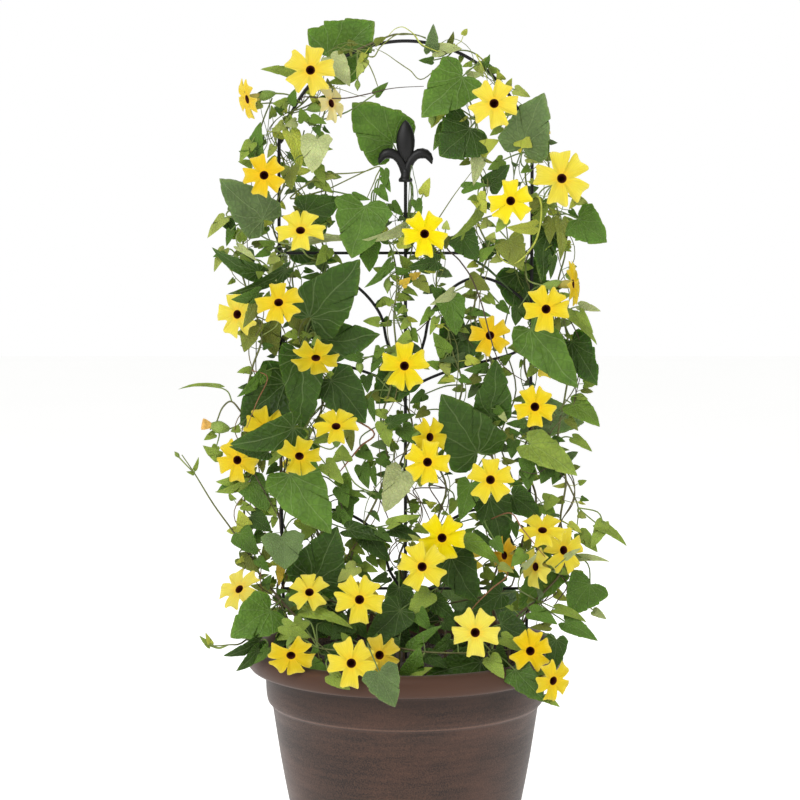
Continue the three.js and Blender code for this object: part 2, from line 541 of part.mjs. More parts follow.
// One leaf with its stalk: a blade that thins to its edge, so that both faces share the outline,
// and a stalk of diamond section from the root to the blade.
function leaf(base, tip, roll, width, root, grow = 0) {
  const { along, out, across, length } = leafFrame(base, tip, roll);
  const large = width >= LARGE_WIDTH;
  const half = large ? LARGE_HALF : MEDIUM_HALF;
  const ribs = large ? LARGE_MIDRIB : MEDIUM_MIDRIB;
  const place = (a, b, lift) => {
    const rise = FOLD * Math.abs(b) * width + CAMBER * length * 4 * a * (1 - a) + lift;
    return base.clone().addScaledVector(along, a * length).addScaledVector(across, b * width)
      .addScaledVector(out, rise);
  };
  const thick = BLADE_HALF_THICKNESS + grow;
  const wide = PETIOLE_HALF_WIDTH + grow;
  const high = PETIOLE_HALF_THICKNESS + grow;
  // the stalk comes to a point inside its stem; its sections are diamonds, as the left, right,
  // upper and lower points
  const bend = base.clone().addScaledVector(along, -0.35 * base.distanceTo(root));
  bend.lerp(root, 0.35);
  const vertices = [root];
  [bend, base].forEach((point, i) => {
    const way = i ? along.clone() : base.clone().sub(root).normalize();
    const side = across.clone().addScaledVector(way, -across.dot(way));
    if (side.length() < 0.2) side.copy(out).addScaledVector(way, -out.dot(way));
    side.normalize();
    const up = way.clone().cross(side);
    vertices.push(
      point.clone().addScaledVector(side, wide),
      point.clone().addScaledVector(side, -wide),
      point.clone().addScaledVector(up, high),
      point.clone().addScaledVector(up, -high),
    );
  });
  const faces = [];
  for (const [a, b] of [[1, 3], [3, 2], [2, 4], [4, 1]])
    faces.push([0, b, a], [a, b, b + 4], [a, b + 4, a + 4]);
  // the outline runs from the stalk's left side round the tip to its right side
  const outline = [5];
  const add = (a, b, lift) => vertices.push(place(a, b, lift)) - 1;
  for (const [a, b] of [...half].reverse()) outline.push(add(a, b, 0));
  outline.push(add(1, 0, 0));
  for (const [a, b] of half) outline.push(add(a, -b, 0));
  outline.push(6);
  const upper = [7, ...ribs.map((a) => add(a, 0, thick))];
  const lower = [8, ...ribs.map((a) => add(a, 0, -thick))];
  // each edge of the outline fans out from the nearest rib point, those beside the stalk from its end
  const shares = [0, ...half.map(([a]) => a).reverse(), 1, ...half.map(([a]) => a), 0];
  const ribOf = (k) => {
    if (k === 0 || k === shares.length - 2) return 0;
    const away = ribs.map((a) => Math.abs(a - (shares[k] + shares[k + 1]) / 2));
    return 1 + away.indexOf(Math.min(...away));
  };
  for (let k = 0; k + 1 < outline.length; k++) {
    let rib = ribOf(k);
    faces.push([upper[rib], outline[k + 1], outline[k]], [lower[rib], outline[k], outline[k + 1]]);
    // where the next edge fans from another rib point, triangles bridge the two
    const target = k + 2 < outline.length ? ribOf(k + 1) : rib;
    while (rib !== target) {
      const next = rib + Math.sign(target - rib);
      faces.push([upper[rib], upper[next], outline[k + 1]]);
      faces.push([lower[rib], outline[k + 1], lower[next]]);
      rib = next;
    }
  }
  return geometryOf(vertices, faces);
}

// ---------------------------------------------------------------- blooms
const PETALS = 5;
// [share of the radius along the petal, half width, height above the throat], each a share
const PETAL_SIDE = [0.64, 0.33, 0.09];
const PETAL_CORNER = [0.93, 0.4, 0.02];
const PETAL_MIDDLE = [0.6, 0, 0.06];
const PETAL_HALF_THICKNESS = 0.45; // in the petal's middle; it thins to its edge
const PETAL_ROOT = [0.38, 0.06]; // where two petals part: radius and height
const PETAL_FILL = 0.86; // how much of the angle to the next petal's half a petal may fill

// The way a bloom faces, turned to the right and up from the front.
function facing(right, up) {
  const yaw = THREE.MathUtils.degToRad(right);
  const pitch = THREE.MathUtils.degToRad(up);
  return V(Math.sin(yaw) * Math.cos(pitch), -Math.cos(yaw) * Math.cos(pitch), Math.sin(pitch));
}

// Petal directions in the bloom's face, each of which shows at its angle in the front view.
function petalDirections(face, angles) {
  if (angles.length === PETALS && Math.abs(face.y) > 0.5)
    return angles
      .map((angle) => THREE.MathUtils.degToRad(angle))
      .map((a) => {
        const back = -(Math.cos(a) * face.x + Math.sin(a) * face.z) / face.y;
        return V(Math.cos(a), back, Math.sin(a)).normalize();
      });
  const right = face.clone().cross(V(0, 0, 1)).negate().normalize();
  const up = face.clone().cross(right).negate();
  return Array.from({ length: PETALS }, (_, i) => {
    const a = THREE.MathUtils.degToRad(angles[0] + 72 * i);
    return right.clone().multiplyScalar(Math.cos(a)).addScaledVector(up, Math.sin(a));
  });
}

// One corolla: five petals round a throat that goes down into a tube.
function corolla(centre, face, directions, radius, grow = 0) {
  const around = (a, b) => Math.atan2(a.clone().cross(b).dot(face), a.dot(b));
  const first = directions[0];
  const order = [...directions].sort((a, b) => {
    const turn = (d) => (around(first, d) + 2 * Math.PI + 1e-6) % (2 * Math.PI);
    return turn(a) - turn(b);
  });
  const vertices = [];
  const put = (side, out, lift) =>
    vertices.push(centre.clone().add(side).add(out).addScaledVector(face, lift)) - 1;
  const rim = [];
  const throat = [];
  const under = [];
  const foot = [];
  const middles = [];
  const turns = order.map((d, i) => {
    const turn = around(d, order[(i + 1) % PETALS]);
    return turn < 0 ? turn + 2 * Math.PI : turn;
  });
  order.forEach((d, i) => {
    const turn = turns[i];
    const across = face.clone().cross(d);
    const at = ([r, w, h], sign) => {
      const room = PETAL_FILL * 0.5 * turns[sign > 0 ? i : (i + PETALS - 1) % PETALS];
      const half = Math.min(w, r * Math.tan(Math.min(room, 1)));
      const side = across.clone().multiplyScalar(sign * half * radius);
      return put(d.clone().multiplyScalar(r * radius), side, h * radius);
    };
    rim.push(at(PETAL_SIDE, -1), at(PETAL_CORNER, -1), at(PETAL_CORNER, 1), at(PETAL_SIDE, 1));
    const [r, , h] = PETAL_MIDDLE;
    middles.push([1, -1].map((side) => {
      const lift = h * radius + side * (PETAL_HALF_THICKNESS + grow);
      return put(d.clone().multiplyScalar(r * radius), V(0, 0, 0), lift);
    }));
    const between = d.clone().applyAxisAngle(face, turn / 2);
    const [rootRadius, rootHeight] = PETAL_ROOT;
    rim.push(put(between.clone().multiplyScalar(rootRadius * radius), V(0, 0, 0), rootHeight * radius));
    const ring = (r, lift) => put(between.clone().multiplyScalar(r), V(0, 0, 0), lift);
    throat.push(ring(3.4, 0.4 + grow));
    under.push(ring(3.6 + grow, -1.6 - grow));
    foot.push(ring(2.4 + grow, -TUBE_LENGTH));
  });
  const pit = put(V(0, 0, 0), V(0, 0, 0), -3);
  const faces = [];
  for (let i = 0; i < PETALS; i++) {
    const before = (i + PETALS - 1) % PETALS;
    const [t0, t1] = [throat[before], throat[i]];
    const [u0, u1] = [under[before], under[i]];
    const [over, below] = middles[i];
    const edge = [rim[(5 * i + 24) % 25], ...rim.slice(5 * i, 5 * i + 5)];
    // the edge next to each root fans out from the throat, the rest from the petal's middle
    const uppers = [t0, over, over, over, t1];
    const lowers = [u0, below, below, below, u1];
    for (let k = 0; k < 5; k++) {
      const [from, to] = [edge[k], edge[k + 1]];
      faces.push([uppers[k], from, to], [lowers[k], to, from]);
    }
    faces.push([t0, edge[1], over], [u0, below, edge[1]]);
    faces.push([t1, over, edge[4]], [u1, edge[4], below]);
    faces.push([t0, over, t1], [u0, u1, below]);
    faces.push([t0, t1, pit]);
    faces.push([u0, foot[i], u1], [u0, foot[before], foot[i]]);
  }
  for (let i = 1; i + 1 < PETALS; i++) faces.push([foot[0], foot[i + 1], foot[i]]);
  return geometryOf(vertices, faces);
}

// The stalk of a bloom with the pair of bracts that clasp its tube, as one swelling stalk.
function bloomStalk(centre, face, root, grow = 0) {
  const back = (distance) => centre.clone().addScaledVector(face, -distance);
  const top = TUBE_LENGTH + GAP;
  const bottom = top + BRACT_LENGTH;
  const far = back(bottom + 0.3 * back(bottom).distanceTo(root)).lerp(root, 0.3);
  const points = [root, far, back(bottom), back(bottom - 4), back(top + 3), back(top)];
  const radii = [0.9, 1.1, 5, 4.6, 3].map((r) => r + grow);
  return stalk(points, [0, ...radii], 4);
}

function budStalk(centre, face, root, grow = 0) {
  const back = (distance) => centre.clone().addScaledVector(face, -distance);
  const far = back(18).lerp(root, 0.4);
  const points = [root, far, back(12), back(8), back(2), centre];
  const radii = [0.8, 0.9, 3.6, 3.2, 0.6].map((r) => r + grow);
  return stalk(points, [0, ...radii], 4);
}

// ---------------------------------------------------------------- putting the plant together
const BACK_LEAST = 29; // a front leaf this wide may have one behind it
const BACK_DEPTH = 36;
const BACK_STEP = 7;
const BACK_DIP = 10; // how much further back the tip is
const BACK_SHARE = 0.9; // the size of the back leaf, as a share of the front one's
const CLEARANCE = 0.45; // added all round a piece when it is tried against the other nodes
// slides of the depth that are tried, in turn
const SHIFTS = [0, 7, -7, 14, -14, 21, -21, 28, -28, 36, -36, 45, -45, 55, 66, 78];

const placed = [];

function boxOf(solid) {
  const { min, max } = solid.boundingBox();
  return new THREE.Box3(V(...min), V(...max));
}

function keep(node, solid, isStem = false) {
  placed.push({ node, solid, box: boxOf(solid), isStem });
  return solid;
}

// Whether a solid of this node is clear of all others. It may touch its own stem, and where
// `own` is true its node's other pieces too.
function clear(solid, node, own = false) {
  const box = boxOf(solid);
  return placed.every(
    (other) =>
      (other.node === node && (own || other.isStem)) ||
      !box.intersectsBox(other.box) ||
      solid.intersect(other.solid).isEmpty(),
  );
}

// The stem point that a stalk grows from: the nearest to where the stalk would end by itself.
function rootFor(point, nodes) {
  let best = { distance: Infinity };
  for (const name of nodes)
    for (const at of knots.get(name)) {
      const distance = at.distanceTo(point);
      if (distance < best.distance) best = { name, at, distance };
    }
  return best;
}

const pot = keep("pot", makePot());
const trellis = keep("trellis_frame", makeTrellis());
const finial = keep("finial", makeFinial());
keep("soil", makeSoil([]));

const stems = stemPoints();
const vines = new Map();
const knots = new Map(); // where stalks may grow from each vine: not at a stem's very end
const troubles = [];
for (const [name, points] of stems) {
  knots.set(name, points.slice(2, -1));
  const radii = points.map(() => STEM_RADIUS);
  const aboveSoil = points.filter((p) => p.z > SOIL_TOP + SOIL_CROWN + 2);
  const fat = solidOf(stalk(aboveSoil, aboveSoil.map(() => STEM_RADIUS + GAP), 3));
  if (!clear(fat, name)) troubles.push(name + " crosses another piece");
  vines.set(name, [keep(name, solidOf(stalk(points, radii, 3)), true)]);
}

for (const [name, points] of SHOOTS) {
  const places = points.map(([x, z, depth]) => seen(x, z, depth));
  const { at } = rootFor(places[0], [name]);
  const way = [at, ...places.slice(1)];
  const radii = way.map(() => 0.9);
  const fat = solidOf(stalk(way, way.map(() => 0.9 + GAP), 3));
  if (!clear(fat, name)) troubles.push("a shoot of " + name + " crosses another piece");
  vines.get(name).push(keep(name, solidOf(stalk(way, radii, 3)), true));
  knots.get(name).push(...way.slice(1, -1));
}

// Tries a piece at each depth in turn, and keeps the first that is clear of the other nodes.
function fit(label, attempt) {
  for (const own of [false, true]) for (const shift of SHIFTS) if (attempt(shift, own)) return;
  troubles.push(label + " found no clear place");
}

const blooms = new Map();
for (const [name, x, z, diameter, depth, right, up, angles, colour] of BLOOMS) {
  const face = facing(right, up);
  const root = rootFor(seen(x, z, depth).addScaledVector(face, -50), vines.keys());
  fit("bloom_" + name, (shift, own) => {
    const centre = seen(x, z, depth + shift);
    const radius = (diameter / 2) * nearer(depth + shift);
    const directions = petalDirections(face, angles);
    const node = "bloom_" + name;
    if (!clear(solidOf(corolla(centre, face, directions, radius, CLEARANCE)), node)) return false;
    const fatStalk = solidOf(bloomStalk(centre, face, root.at, CLEARANCE));
    if (!clear(fatStalk, root.name, own)) return false;
    vines.get(root.name).push(keep(root.name, solidOf(bloomStalk(centre, face, root.at))));
    blooms.set(node, [keep(node, solidOf(corolla(centre, face, directions, radius))), colour]);
    return true;
  });
}

for (const [x, z, depth, right, up] of BUDS) {
  const face = facing(right, up);
  const root = rootFor(seen(x, z, depth).addScaledVector(face, -30), vines.keys());
  fit("bud", (shift, own) => {
    const centre = seen(x, z, depth + shift);
    if (!clear(solidOf(budStalk(centre, face, root.at, CLEARANCE)), root.name, own)) return false;
    vines.get(root.name).push(keep(root.name, solidOf(budStalk(centre, face, root.at))));
    return true;
  });
}

function placeLeaf(label, base, tip, roll, width) {
  const along = tip(0).sub(base(0)).normalize();
  const root = rootFor(base(0).addScaledVector(along, -18), vines.keys());
  fit(label, (shift, own) => {
    const [from, to] = [base(shift), tip(shift)];
    const wide = width * nearer(from.y);
    const fat = solidOf(leaf(from, to, roll, wide, root.at, CLEARANCE));
    if (!clear(fat, root.name, own)) return false;
    vines.get(root.name).push(keep(root.name, solidOf(leaf(from, to, roll, wide, root.at))));
    return true;
  });
}

LEAVES.forEach(([x0, z0, x1, z1, depth, dip, roll, width], i) => {
  const base = (shift) => seen(x0, z0, depth + shift);
  const tip = (shift) => seen(x1, z1, depth + shift + dip);
  placeLeaf("leaf " + i, base, tip, roll, width);
});

// Behind every second large leaf another one hangs from the back stems and faces the back.
LEAVES.filter(([, z0, , , , , , width]) => width >= BACK_LEAST && z0 > 300).forEach((row, i) => {
  if (i % 2) return;
  const [x0, z0, x1, z1, , , , width] = row;
  const depth = BACK_DEPTH + BACK_STEP * (i % 3);
  const base = (shift) => seen(x0, z0, depth - shift);
  const tip = (shift) => base(shift).lerp(seen(x1, z1, depth + BACK_DIP - shift), BACK_SHARE);
  placeLeaf("back leaf " + i, base, tip, 180, BACK_SHARE * width);
});

if (troubles.length) console.warn(troubles.join("\n"));

// Each stem and each leg stands in a plain hole in the soil.
const drills = posts(GAP);
for (const [{ x, y }] of stems.values()) {
  const length = 2 * (SOIL_TOP + SOIL_CROWN - STEM_FOOT);
  const radius = STEM_RADIUS + 2 * GAP;
  const drill = new THREE.CylinderGeometry(radius, radius, length, 5).rotateX(Math.PI / 2);
  drills.push(solidOf(drill.translate(x, y, STEM_FOOT - GAP + length / 2)));
}
const soil = makeSoil(drills);

const plant = new THREE.Group();
plant.add(meshOf("pot", pot, COLOURS.pot, 0.5));
plant.add(meshOf("soil", soil, COLOURS.soil, 1));
plant.add(meshOf("trellis_frame", trellis, COLOURS.iron, 0.45, 0.6));
plant.add(meshOf("finial", finial, COLOURS.iron, 0.5, 0.6));
for (const [name, solids] of vines) plant.add(meshOf(name, join(solids), COLOURS.leaf, 0.6));
for (const [name, [solid, colour]] of blooms) plant.add(meshOf(name, solid, "#" + colour, 0.6));

export default plant;
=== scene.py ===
"""The looks of a black-eyed susan vine on a black wire trellis in a brown pot.

The plant's tables are in millimetres, as they look from the front; finished meshes are in
metres. The pieces stand where the CAD nodes that they replace stand.
"""
import math
import random

import bmesh
import bpy
import numpy as np
from bpy.props import FloatProperty, FloatVectorProperty, IntProperty, PointerProperty
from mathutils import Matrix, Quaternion, Vector
from mathutils.kdtree import KDTree


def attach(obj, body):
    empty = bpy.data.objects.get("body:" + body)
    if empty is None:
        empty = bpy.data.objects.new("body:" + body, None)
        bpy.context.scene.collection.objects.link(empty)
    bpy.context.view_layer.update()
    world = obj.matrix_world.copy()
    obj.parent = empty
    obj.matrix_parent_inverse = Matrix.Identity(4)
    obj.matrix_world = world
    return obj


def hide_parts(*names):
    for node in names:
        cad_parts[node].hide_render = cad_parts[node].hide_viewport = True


bl_info = {
    "name": "Potted Black-Eyed Susan Vine",
    "version": (1, 0, 0),
    "blender": (4, 5, 0),
    "location": "3D View > Sidebar > Vine",
    "description": "Builds a flowering vine on a wire trellis in a pot over its CAD frame",
    "category": "Add Mesh",
}

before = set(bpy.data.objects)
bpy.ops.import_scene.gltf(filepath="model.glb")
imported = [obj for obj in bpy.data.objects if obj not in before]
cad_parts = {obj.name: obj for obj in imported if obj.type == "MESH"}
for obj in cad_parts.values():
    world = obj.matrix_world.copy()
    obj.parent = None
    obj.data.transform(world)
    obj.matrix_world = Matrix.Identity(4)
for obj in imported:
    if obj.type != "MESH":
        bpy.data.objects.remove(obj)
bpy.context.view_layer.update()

MM = 0.001
TURN = 2 * math.pi
EYE = Vector((-5, -2188, 704))  # the front view is drawn as it looks from here
FRONT = Vector((0, -1, 0))
BLACK = [0, 0, 0, 1]

# ---------------------------------------------------------------- pot and trellis sizes
# Pot: radius, height, and how worn the lacquer is there
POT_PROFILE = [
    (0, 0, 0), (86, 0, 0), (88, 0.2, 0.2), (90.2, 1.2, 0.4), (91, 3, 0.4), (92.6, 8, 0),
    (101.5, 42, 0), (107.5, 68, 0), (112.8, 92, 0), (116.8, 113, 0), (120.3, 133, 0),
    (124.4, 160, 0), (127.7, 182.4, 0), (128.4, 183.8, 0), (129.5, 184.8, 0.3), (130.8, 186, 1),
    (132, 187.4, 0.6), (132.5, 188.8, 0.1), (132.9, 191, 0), (133.3, 193, 0), (133.7, 198, 0),
    (134, 206, 0), (134.3, 214, 0), (134.8, 217, 0), (137.5, 218.3, 0), (145, 219.3, 0),
    (148.8, 220.4, 0.2), (150.9, 223, 0.4), (151.5, 228, 0.1), (151.2, 232.4, 0), (150, 236, 0.1),
    (147.6, 238.8, 0.3), (143.6, 240, 0.3), (139.8, 239.4, 0.2), (137, 237.4, 0.2),
    (134.6, 233, 0), (131.8, 228, 0), (127, 220.5, 0), (122.5, 184, 0), (117.3, 150, 0),
    (107.3, 95, 0), (85.3, 9.3, 0), (0, 9.3, 0),
]
SOIL_EDGE = [(0, 9.6), (83.6, 9.6), (106.2, 95), (121.2, 184), (125.7, 221)]  # radius, height
SOIL_CROWN = 4  # how much higher the soil is in its middle
POT_FACETS = 128
SOIL_FACETS = 72
SOIL_LEVELS = 14
SOIL_LUMP = 1.3  # height of the surface's lumps
SOIL_GRAIN = 0.8  # how much higher or lower than them a point may lie
CRUMB_MARGIN = 3  # crumbs keep so far from the pot and lie so high over the soil's edge
CRUMB_LIFT = 2.6
# Wires: x and z in the right half, heights of the crossbars and of the rod's two ends
LEG_REACH = [(106, 130), (115.5, 240), (118.5, 400)]
ARCH_RADIUS = 119
ARCH_CENTRE = 693
ARCH_STEPS = 14
BAR_REACH = 119.4
CROSSBARS = [614, 293]
ROD = (130, 688)
UPPER_SCROLL = [
    (0, 506), (12, 516), (18, 532), (23, 554), (36, 573), (52, 586), (70, 591), (88, 586),
    (104, 576), (119, 562),
]
LOWER_SCROLL = [(0, 480), (16, 492), (46, 504), (78, 512), (104, 520), (119, 534)]
LOWER_ARCH = [
    (0, 287), (14, 308), (20, 326), (30, 348), (48, 362), (70, 369), (92, 356), (106, 328),
    (118, 297),
]
# Finial: radius and height of the leaf and the collar; x, z and radius of the right arm
FINIAL_LEAF = [
    (0.3, 697), (3, 700), (5.6, 704), (7.6, 709), (8.6, 714.5), (8.8, 719.5), (8.3, 724),
    (7, 728.5), (5, 733), (2.6, 736.6), (0.3, 738.5),
]
FINIAL_COLLAR = [
    (2, 680.6), (5.9, 680.7), (6.5, 681.4), (6.6, 683), (6, 684.2), (4.9, 685.3), (4.4, 687),
    (4.3, 690), (4, 692.5), (1, 694),
]
FINIAL_ARM = [
    (0, 686.5, 3.9), (1.1, 691, 4), (2.6, 696, 4.1), (5.4, 701.6, 4.2), (9, 705.4, 4.4),
    (12.4, 707.2, 4.8), (16, 707.6, 5), (19.1, 706.9, 4.6), (21.6, 705, 3.8), (23.6, 701.6, 2.7),
    (24.8, 697.6, 0.5),
]
LEAF_DEPTH = 0.55  # the cast leaf's and arm's depth as a share of their width
ARM_DEPTH = 0.92
WIRE_SIDES = 16
STEM_SIDES = 8

# ---------------------------------------------------------------- the plant, in its front view
SOIL_TOP = SOIL_EDGE[-1][1]
STEM_FOOT = 185
STEM_RISE = 7  # a stem stands this far straight up out of the soil
TWINE_RADIUS = 6.5
TWINE_PITCH = 88
TWINE_STEPS = 6  # points to a turn
TWINED_LEG = [(115.5, 250), (118.5, 400)]  # x, z of the right leg's wire, below the arch
TWINED_ROD = [250, 450, 655]

# Stems: x, z, depth down their length, in the plane of the trellis, from the soil upwards
STEMS = {
    "vine_left_outer": [
        (-100, 256, -40), (-120, 282, -34), (-141, 309, -28), (-151, 335, -22), (-154, 374, -16),
        (-148, 417, -20), (-154, 460, -14), (-146, 503, -18), (-136, 536, -14), (-147, 570, -18),
        (-156, 606, -14), (-148, 640, -18), (-135, 673, -14), (-141, 706, -16), (-135, 734, -12),
        (-125, 759, -12),
    ],
    "vine_left_inner": [
        (-84, 254, -34), (-91, 291, -26), (-80, 325, -18), (-89, 364, -22), (-101, 398, -16),
        (-93, 436, -20), (-79, 470, -16), (-87, 503, -20), (-94, 536, -15), (-83, 570, -20),
        (-75, 606, -15), (-82, 640, -18), (-75, 673, -14), (-84, 706, -16), (-78, 739, -12),
        (-67, 771, -12),
    ],
    "vine_center_left": [
        (-51, 252, -56), (-45, 282, -40), (-53, 316, -28), (-42, 350, -20), (-26, 383, -26),
        (-17, 417, -20), (-24, 451, -16), (-15, 484, -18), (-9, 520, -14), (-11, 553, -16),
        (-8, 589, -14), (-15, 622, -18), (-32, 643, -14), (-50, 653, -16),
    ],
    "vine_center_right": [
        (38, 251, -50), (29, 284, -36), (41, 321, -24), (31, 357, -28), (39, 390, -22),
        (29, 422, -26), (44, 455, -20), (54, 489, -22), (44, 522, -18), (38, 555, -22),
        (29, 584, -16), (33, 617, -20), (23, 643, -24),
    ],
    "vine_right_inner": [
        (89, 254, -34), (81, 289, -26), (90, 325, -18), (79, 359, -22), (88, 393, -16),
        (81, 427, -20), (75, 460, -16), (84, 494, -20), (76, 527, -16), (65, 555, -18),
        (70, 589, -15), (78, 617, -20), (68, 645, -16), (74, 678, -20), (62, 706, -14),
        (66, 739, -16), (55, 767, -12),
    ],
    "vine_right_outer": [
        (100, 256, -44), (125, 282, -36), (148, 307, -28), (155, 332, -24), (148, 359, -20),
        (153, 398, -24), (145, 436, -18), (151, 475, -22), (156, 513, -18), (150, 551, -22),
        (144, 584, -16), (151, 617, -20), (144, 650, -16), (138, 678, -20), (132, 711, -14),
    ],
    "vine_back": [
        (-13, 260, 62), (-63, 278, 52), (-101, 296, 40), (-89, 340, 32), (-104, 388, 38),
        (-93, 436, 30), (-106, 484, 36), (-96, 536, 30), (-107, 589, 36), (-98, 640, 28),
        (-105, 687, 30), (-95, 729, 22),
    ],
    "vine_low": [
        (-7, 235, -92), (-32, 233, -104), (-58, 232, -106), (-84, 235, -100), (-109, 242, -84),
    ],
}
# Side shoots: the stem that each grows from, and its points
SHOOTS = [
    ("vine_back", [(-13, 260, 62), (-38, 260, 84), (-67, 264, 94), (-84, 276, 86)]),
    ("vine_back", [(-13, 260, 62), (18, 260, 86), (52, 264, 92), (83, 276, 80)]),
    ("vine_back", [
        (-13, 260, 62), (33, 276, 54), (102, 296, 40), (90, 340, 32), (104, 388, 38),
        (90, 436, 30), (105, 484, 36), (93, 536, 30), (104, 589, 36), (95, 640, 28),
        (102, 687, 30), (92, 729, 22),
    ]),
    ("vine_low", [
        (-7, 235, -92), (19, 231, -104), (51, 230, -106), (83, 231, -100), (110, 236, -86),
        (134, 243, -66),
    ]),
    ("vine_left_outer", [
        (-145, 312, -24), (-162, 344, -18), (-183, 374, -14), (-201, 404, -10), (-213, 422, -8),
    ]),
    ("vine_left_outer", [
        (-154, 460, -14), (-165, 473, -14), (-174, 467, -14), (-180, 453, -13), (-186, 446, -12),
    ]),
    ("vine_left_outer", [(-138, 247, -40), (-153, 243, -60), (-170, 238, -62), (-188, 237, -62)]),
    ("vine_right_outer", [(153, 398, -24), (159, 386, -22), (165, 371, -20), (164, 353, -18)]),
    ("vine_left_leg", [
        (-23, 810, -6), (-14, 817, -8), (-3, 818, -10), (8, 818, -10), (19, 815, -8),
    ]),
]
# Blooms: x, z, diameter, depth, turned to the right, turned up, petal angles, colour; the colour is
# the bloom's own yellow with painted light and shade in part, darker for blooms that face down
BLOOMS = {
    "b1": (-89, 785, 47, -58, 0, 6, [6, 78, 150, 222, 294], "f2d94a"),
    "b2": (-148, 758, 39, -30, -62, -12, [20], "f0cf40"),
    "b3": (-70, 754, 36, -12, 52, 10, [30], "f8e8a0"),
    "b4": (-133, 687, 40, -58, 0, 6, [38, 110, 182, 254, 326], "f0c81e"),
    "b5": (-99, 635, 46, -62, 0, 38, [125, 58, -5, 270, 190], "fbe648"),
    "b6": (-120, 567, 44, -62, 0, 34, [95, 20, -40, -100, 190], "f5d52a"),
    "b7": (-159, 556, 44, -20, -25, 5, [40], "efdc52"),
    "b8": (-85, 515, 45, -64, 0, -38, [80], "d9c01e"),
    "b9": (83, 754, 46, -56, 0, 6, [62, 130, 208, 285, 355], "f8e04a"),
    "b10": (147, 684, 52, -58, 0, 8, [95, 40, -35, -100, 170], "f0dc48"),
    "b11": (99, 663, 42, -60, 0, 6, [92, 22, -42, -122, 190], "ffe820"),
    "b12": (18, 632, 43, -58, 0, 8, [58, 125, 188, -92, -20], "ffe800"),
    "b13": (133, 561, 44, -66, 0, 6, [115, 50, 0, -95, 185], "f5d828"),
    "b14": (158, 585, 43, -50, 72, 5, [90], "f0cc20"),
    "b15": (80, 536, 38, -56, 0, 6, [100, 30, -42, -114, 172], "e8c018"),
    "b16": (-1, 507, 45, -54, 0, 6, [90, 20, -60, -115, 170], "f2d818"),
    "b17": (123, 468, 40, -66, 0, 6, [115, 55, -20, -90, 195], "f4d41c"),
    "b18": (-66, 449, 43, -62, 0, 46, [130, 50, 5, -90, 190], "f6dc30"),
    "b19": (-133, 448, 41, -30, 0, 8, [110, 35, 165, -40, -110], "f2d222"),
    "b20": (-101, 421, 41, -66, 0, -20, [148, 70, 5, -60, -110], "dcc420"),
    "b21": (-160, 417, 42, -30, -15, 6, [90], "efcf28"),
    "b22": (23, 439, 39, -52, 34, 6, [90], "f4d820"),
    "b23": (21, 415, 43, -68, 0, 6, [150, 80, -5, -85, 215], "f8dc20"),
    "b24": (81, 398, 44, -66, 0, 14, [90, 15, -50, -125, 155], "f6dc30"),
    "b25": (35, 342, 45, -70, 0, 6, [128, 55, -2, -72, 205], "ffe600"),
    "b26": (16, 314, 47, -86, 0, 6, [165, 110, 40, -30, -120], "fae33c"),
    "b27": (131, 349, 44, -60, 0, 54, [90], "fbe23c"),
    "b28": (151, 330, 45, -66, 30, 8, [60], "f7e040"),
    "b29": (95, 325, 36, -56, -50, 4, [90], "d8a820"),
    "b30": (125, 314, 41, -68, -52, 6, [90], "f8e860"),
    "b31": (-159, 292, 44, -44, -36, 36, [20], "f4e060"),
    "b32": (-92, 289, 40, -84, 0, 38, [95, 35, -50, 215, 150], "f8e24a"),
    "b33": (-44, 282, 48, -104, 0, 22, [130, 55, -10, -90, 185], "fae23c"),
    "b34": (67, 250, 47, -128, 0, 12, [125, 55, -8, -90, 188], "fdea5a"),
    "b35": (120, 232, 41, -120, 0, 6, [75, 125, 18, -50, -145], "f2cc10"),
    "b36": (142, 203, 41, -104, 34, -4, [30], "f4d428"),
    "b37": (-110, 228, 45, -126, 0, -22, [165, 50, -15, -75, 220], "e8c820"),
    "b38": (-52, 220, 48, -154, 0, 12, [115, 45, -20, -95, 180], "fae040"),
    "b39": (-25, 228, 40, -132, 12, 6, [40], "e6c83a"),
    "b40": (-151, 659, 34, 60, 150, 8, [20], "f2d22a"),
    "b41": (116, 728, 42, 52, -165, 10, [50], "f7dc38"),
    "b42": (135, 516, 42, 62, -150, 4, [10], "f0cf26"),
    "b43": (-101, 406, 40, 64, 170, 12, [35], "f6d930"),
    "b44": (56, 324, 42, 74, -172, 6, [60], "fbe23c"),
    "b45": (-43, 281, 40, 88, 160, 14, [5], "f4d428"),
}
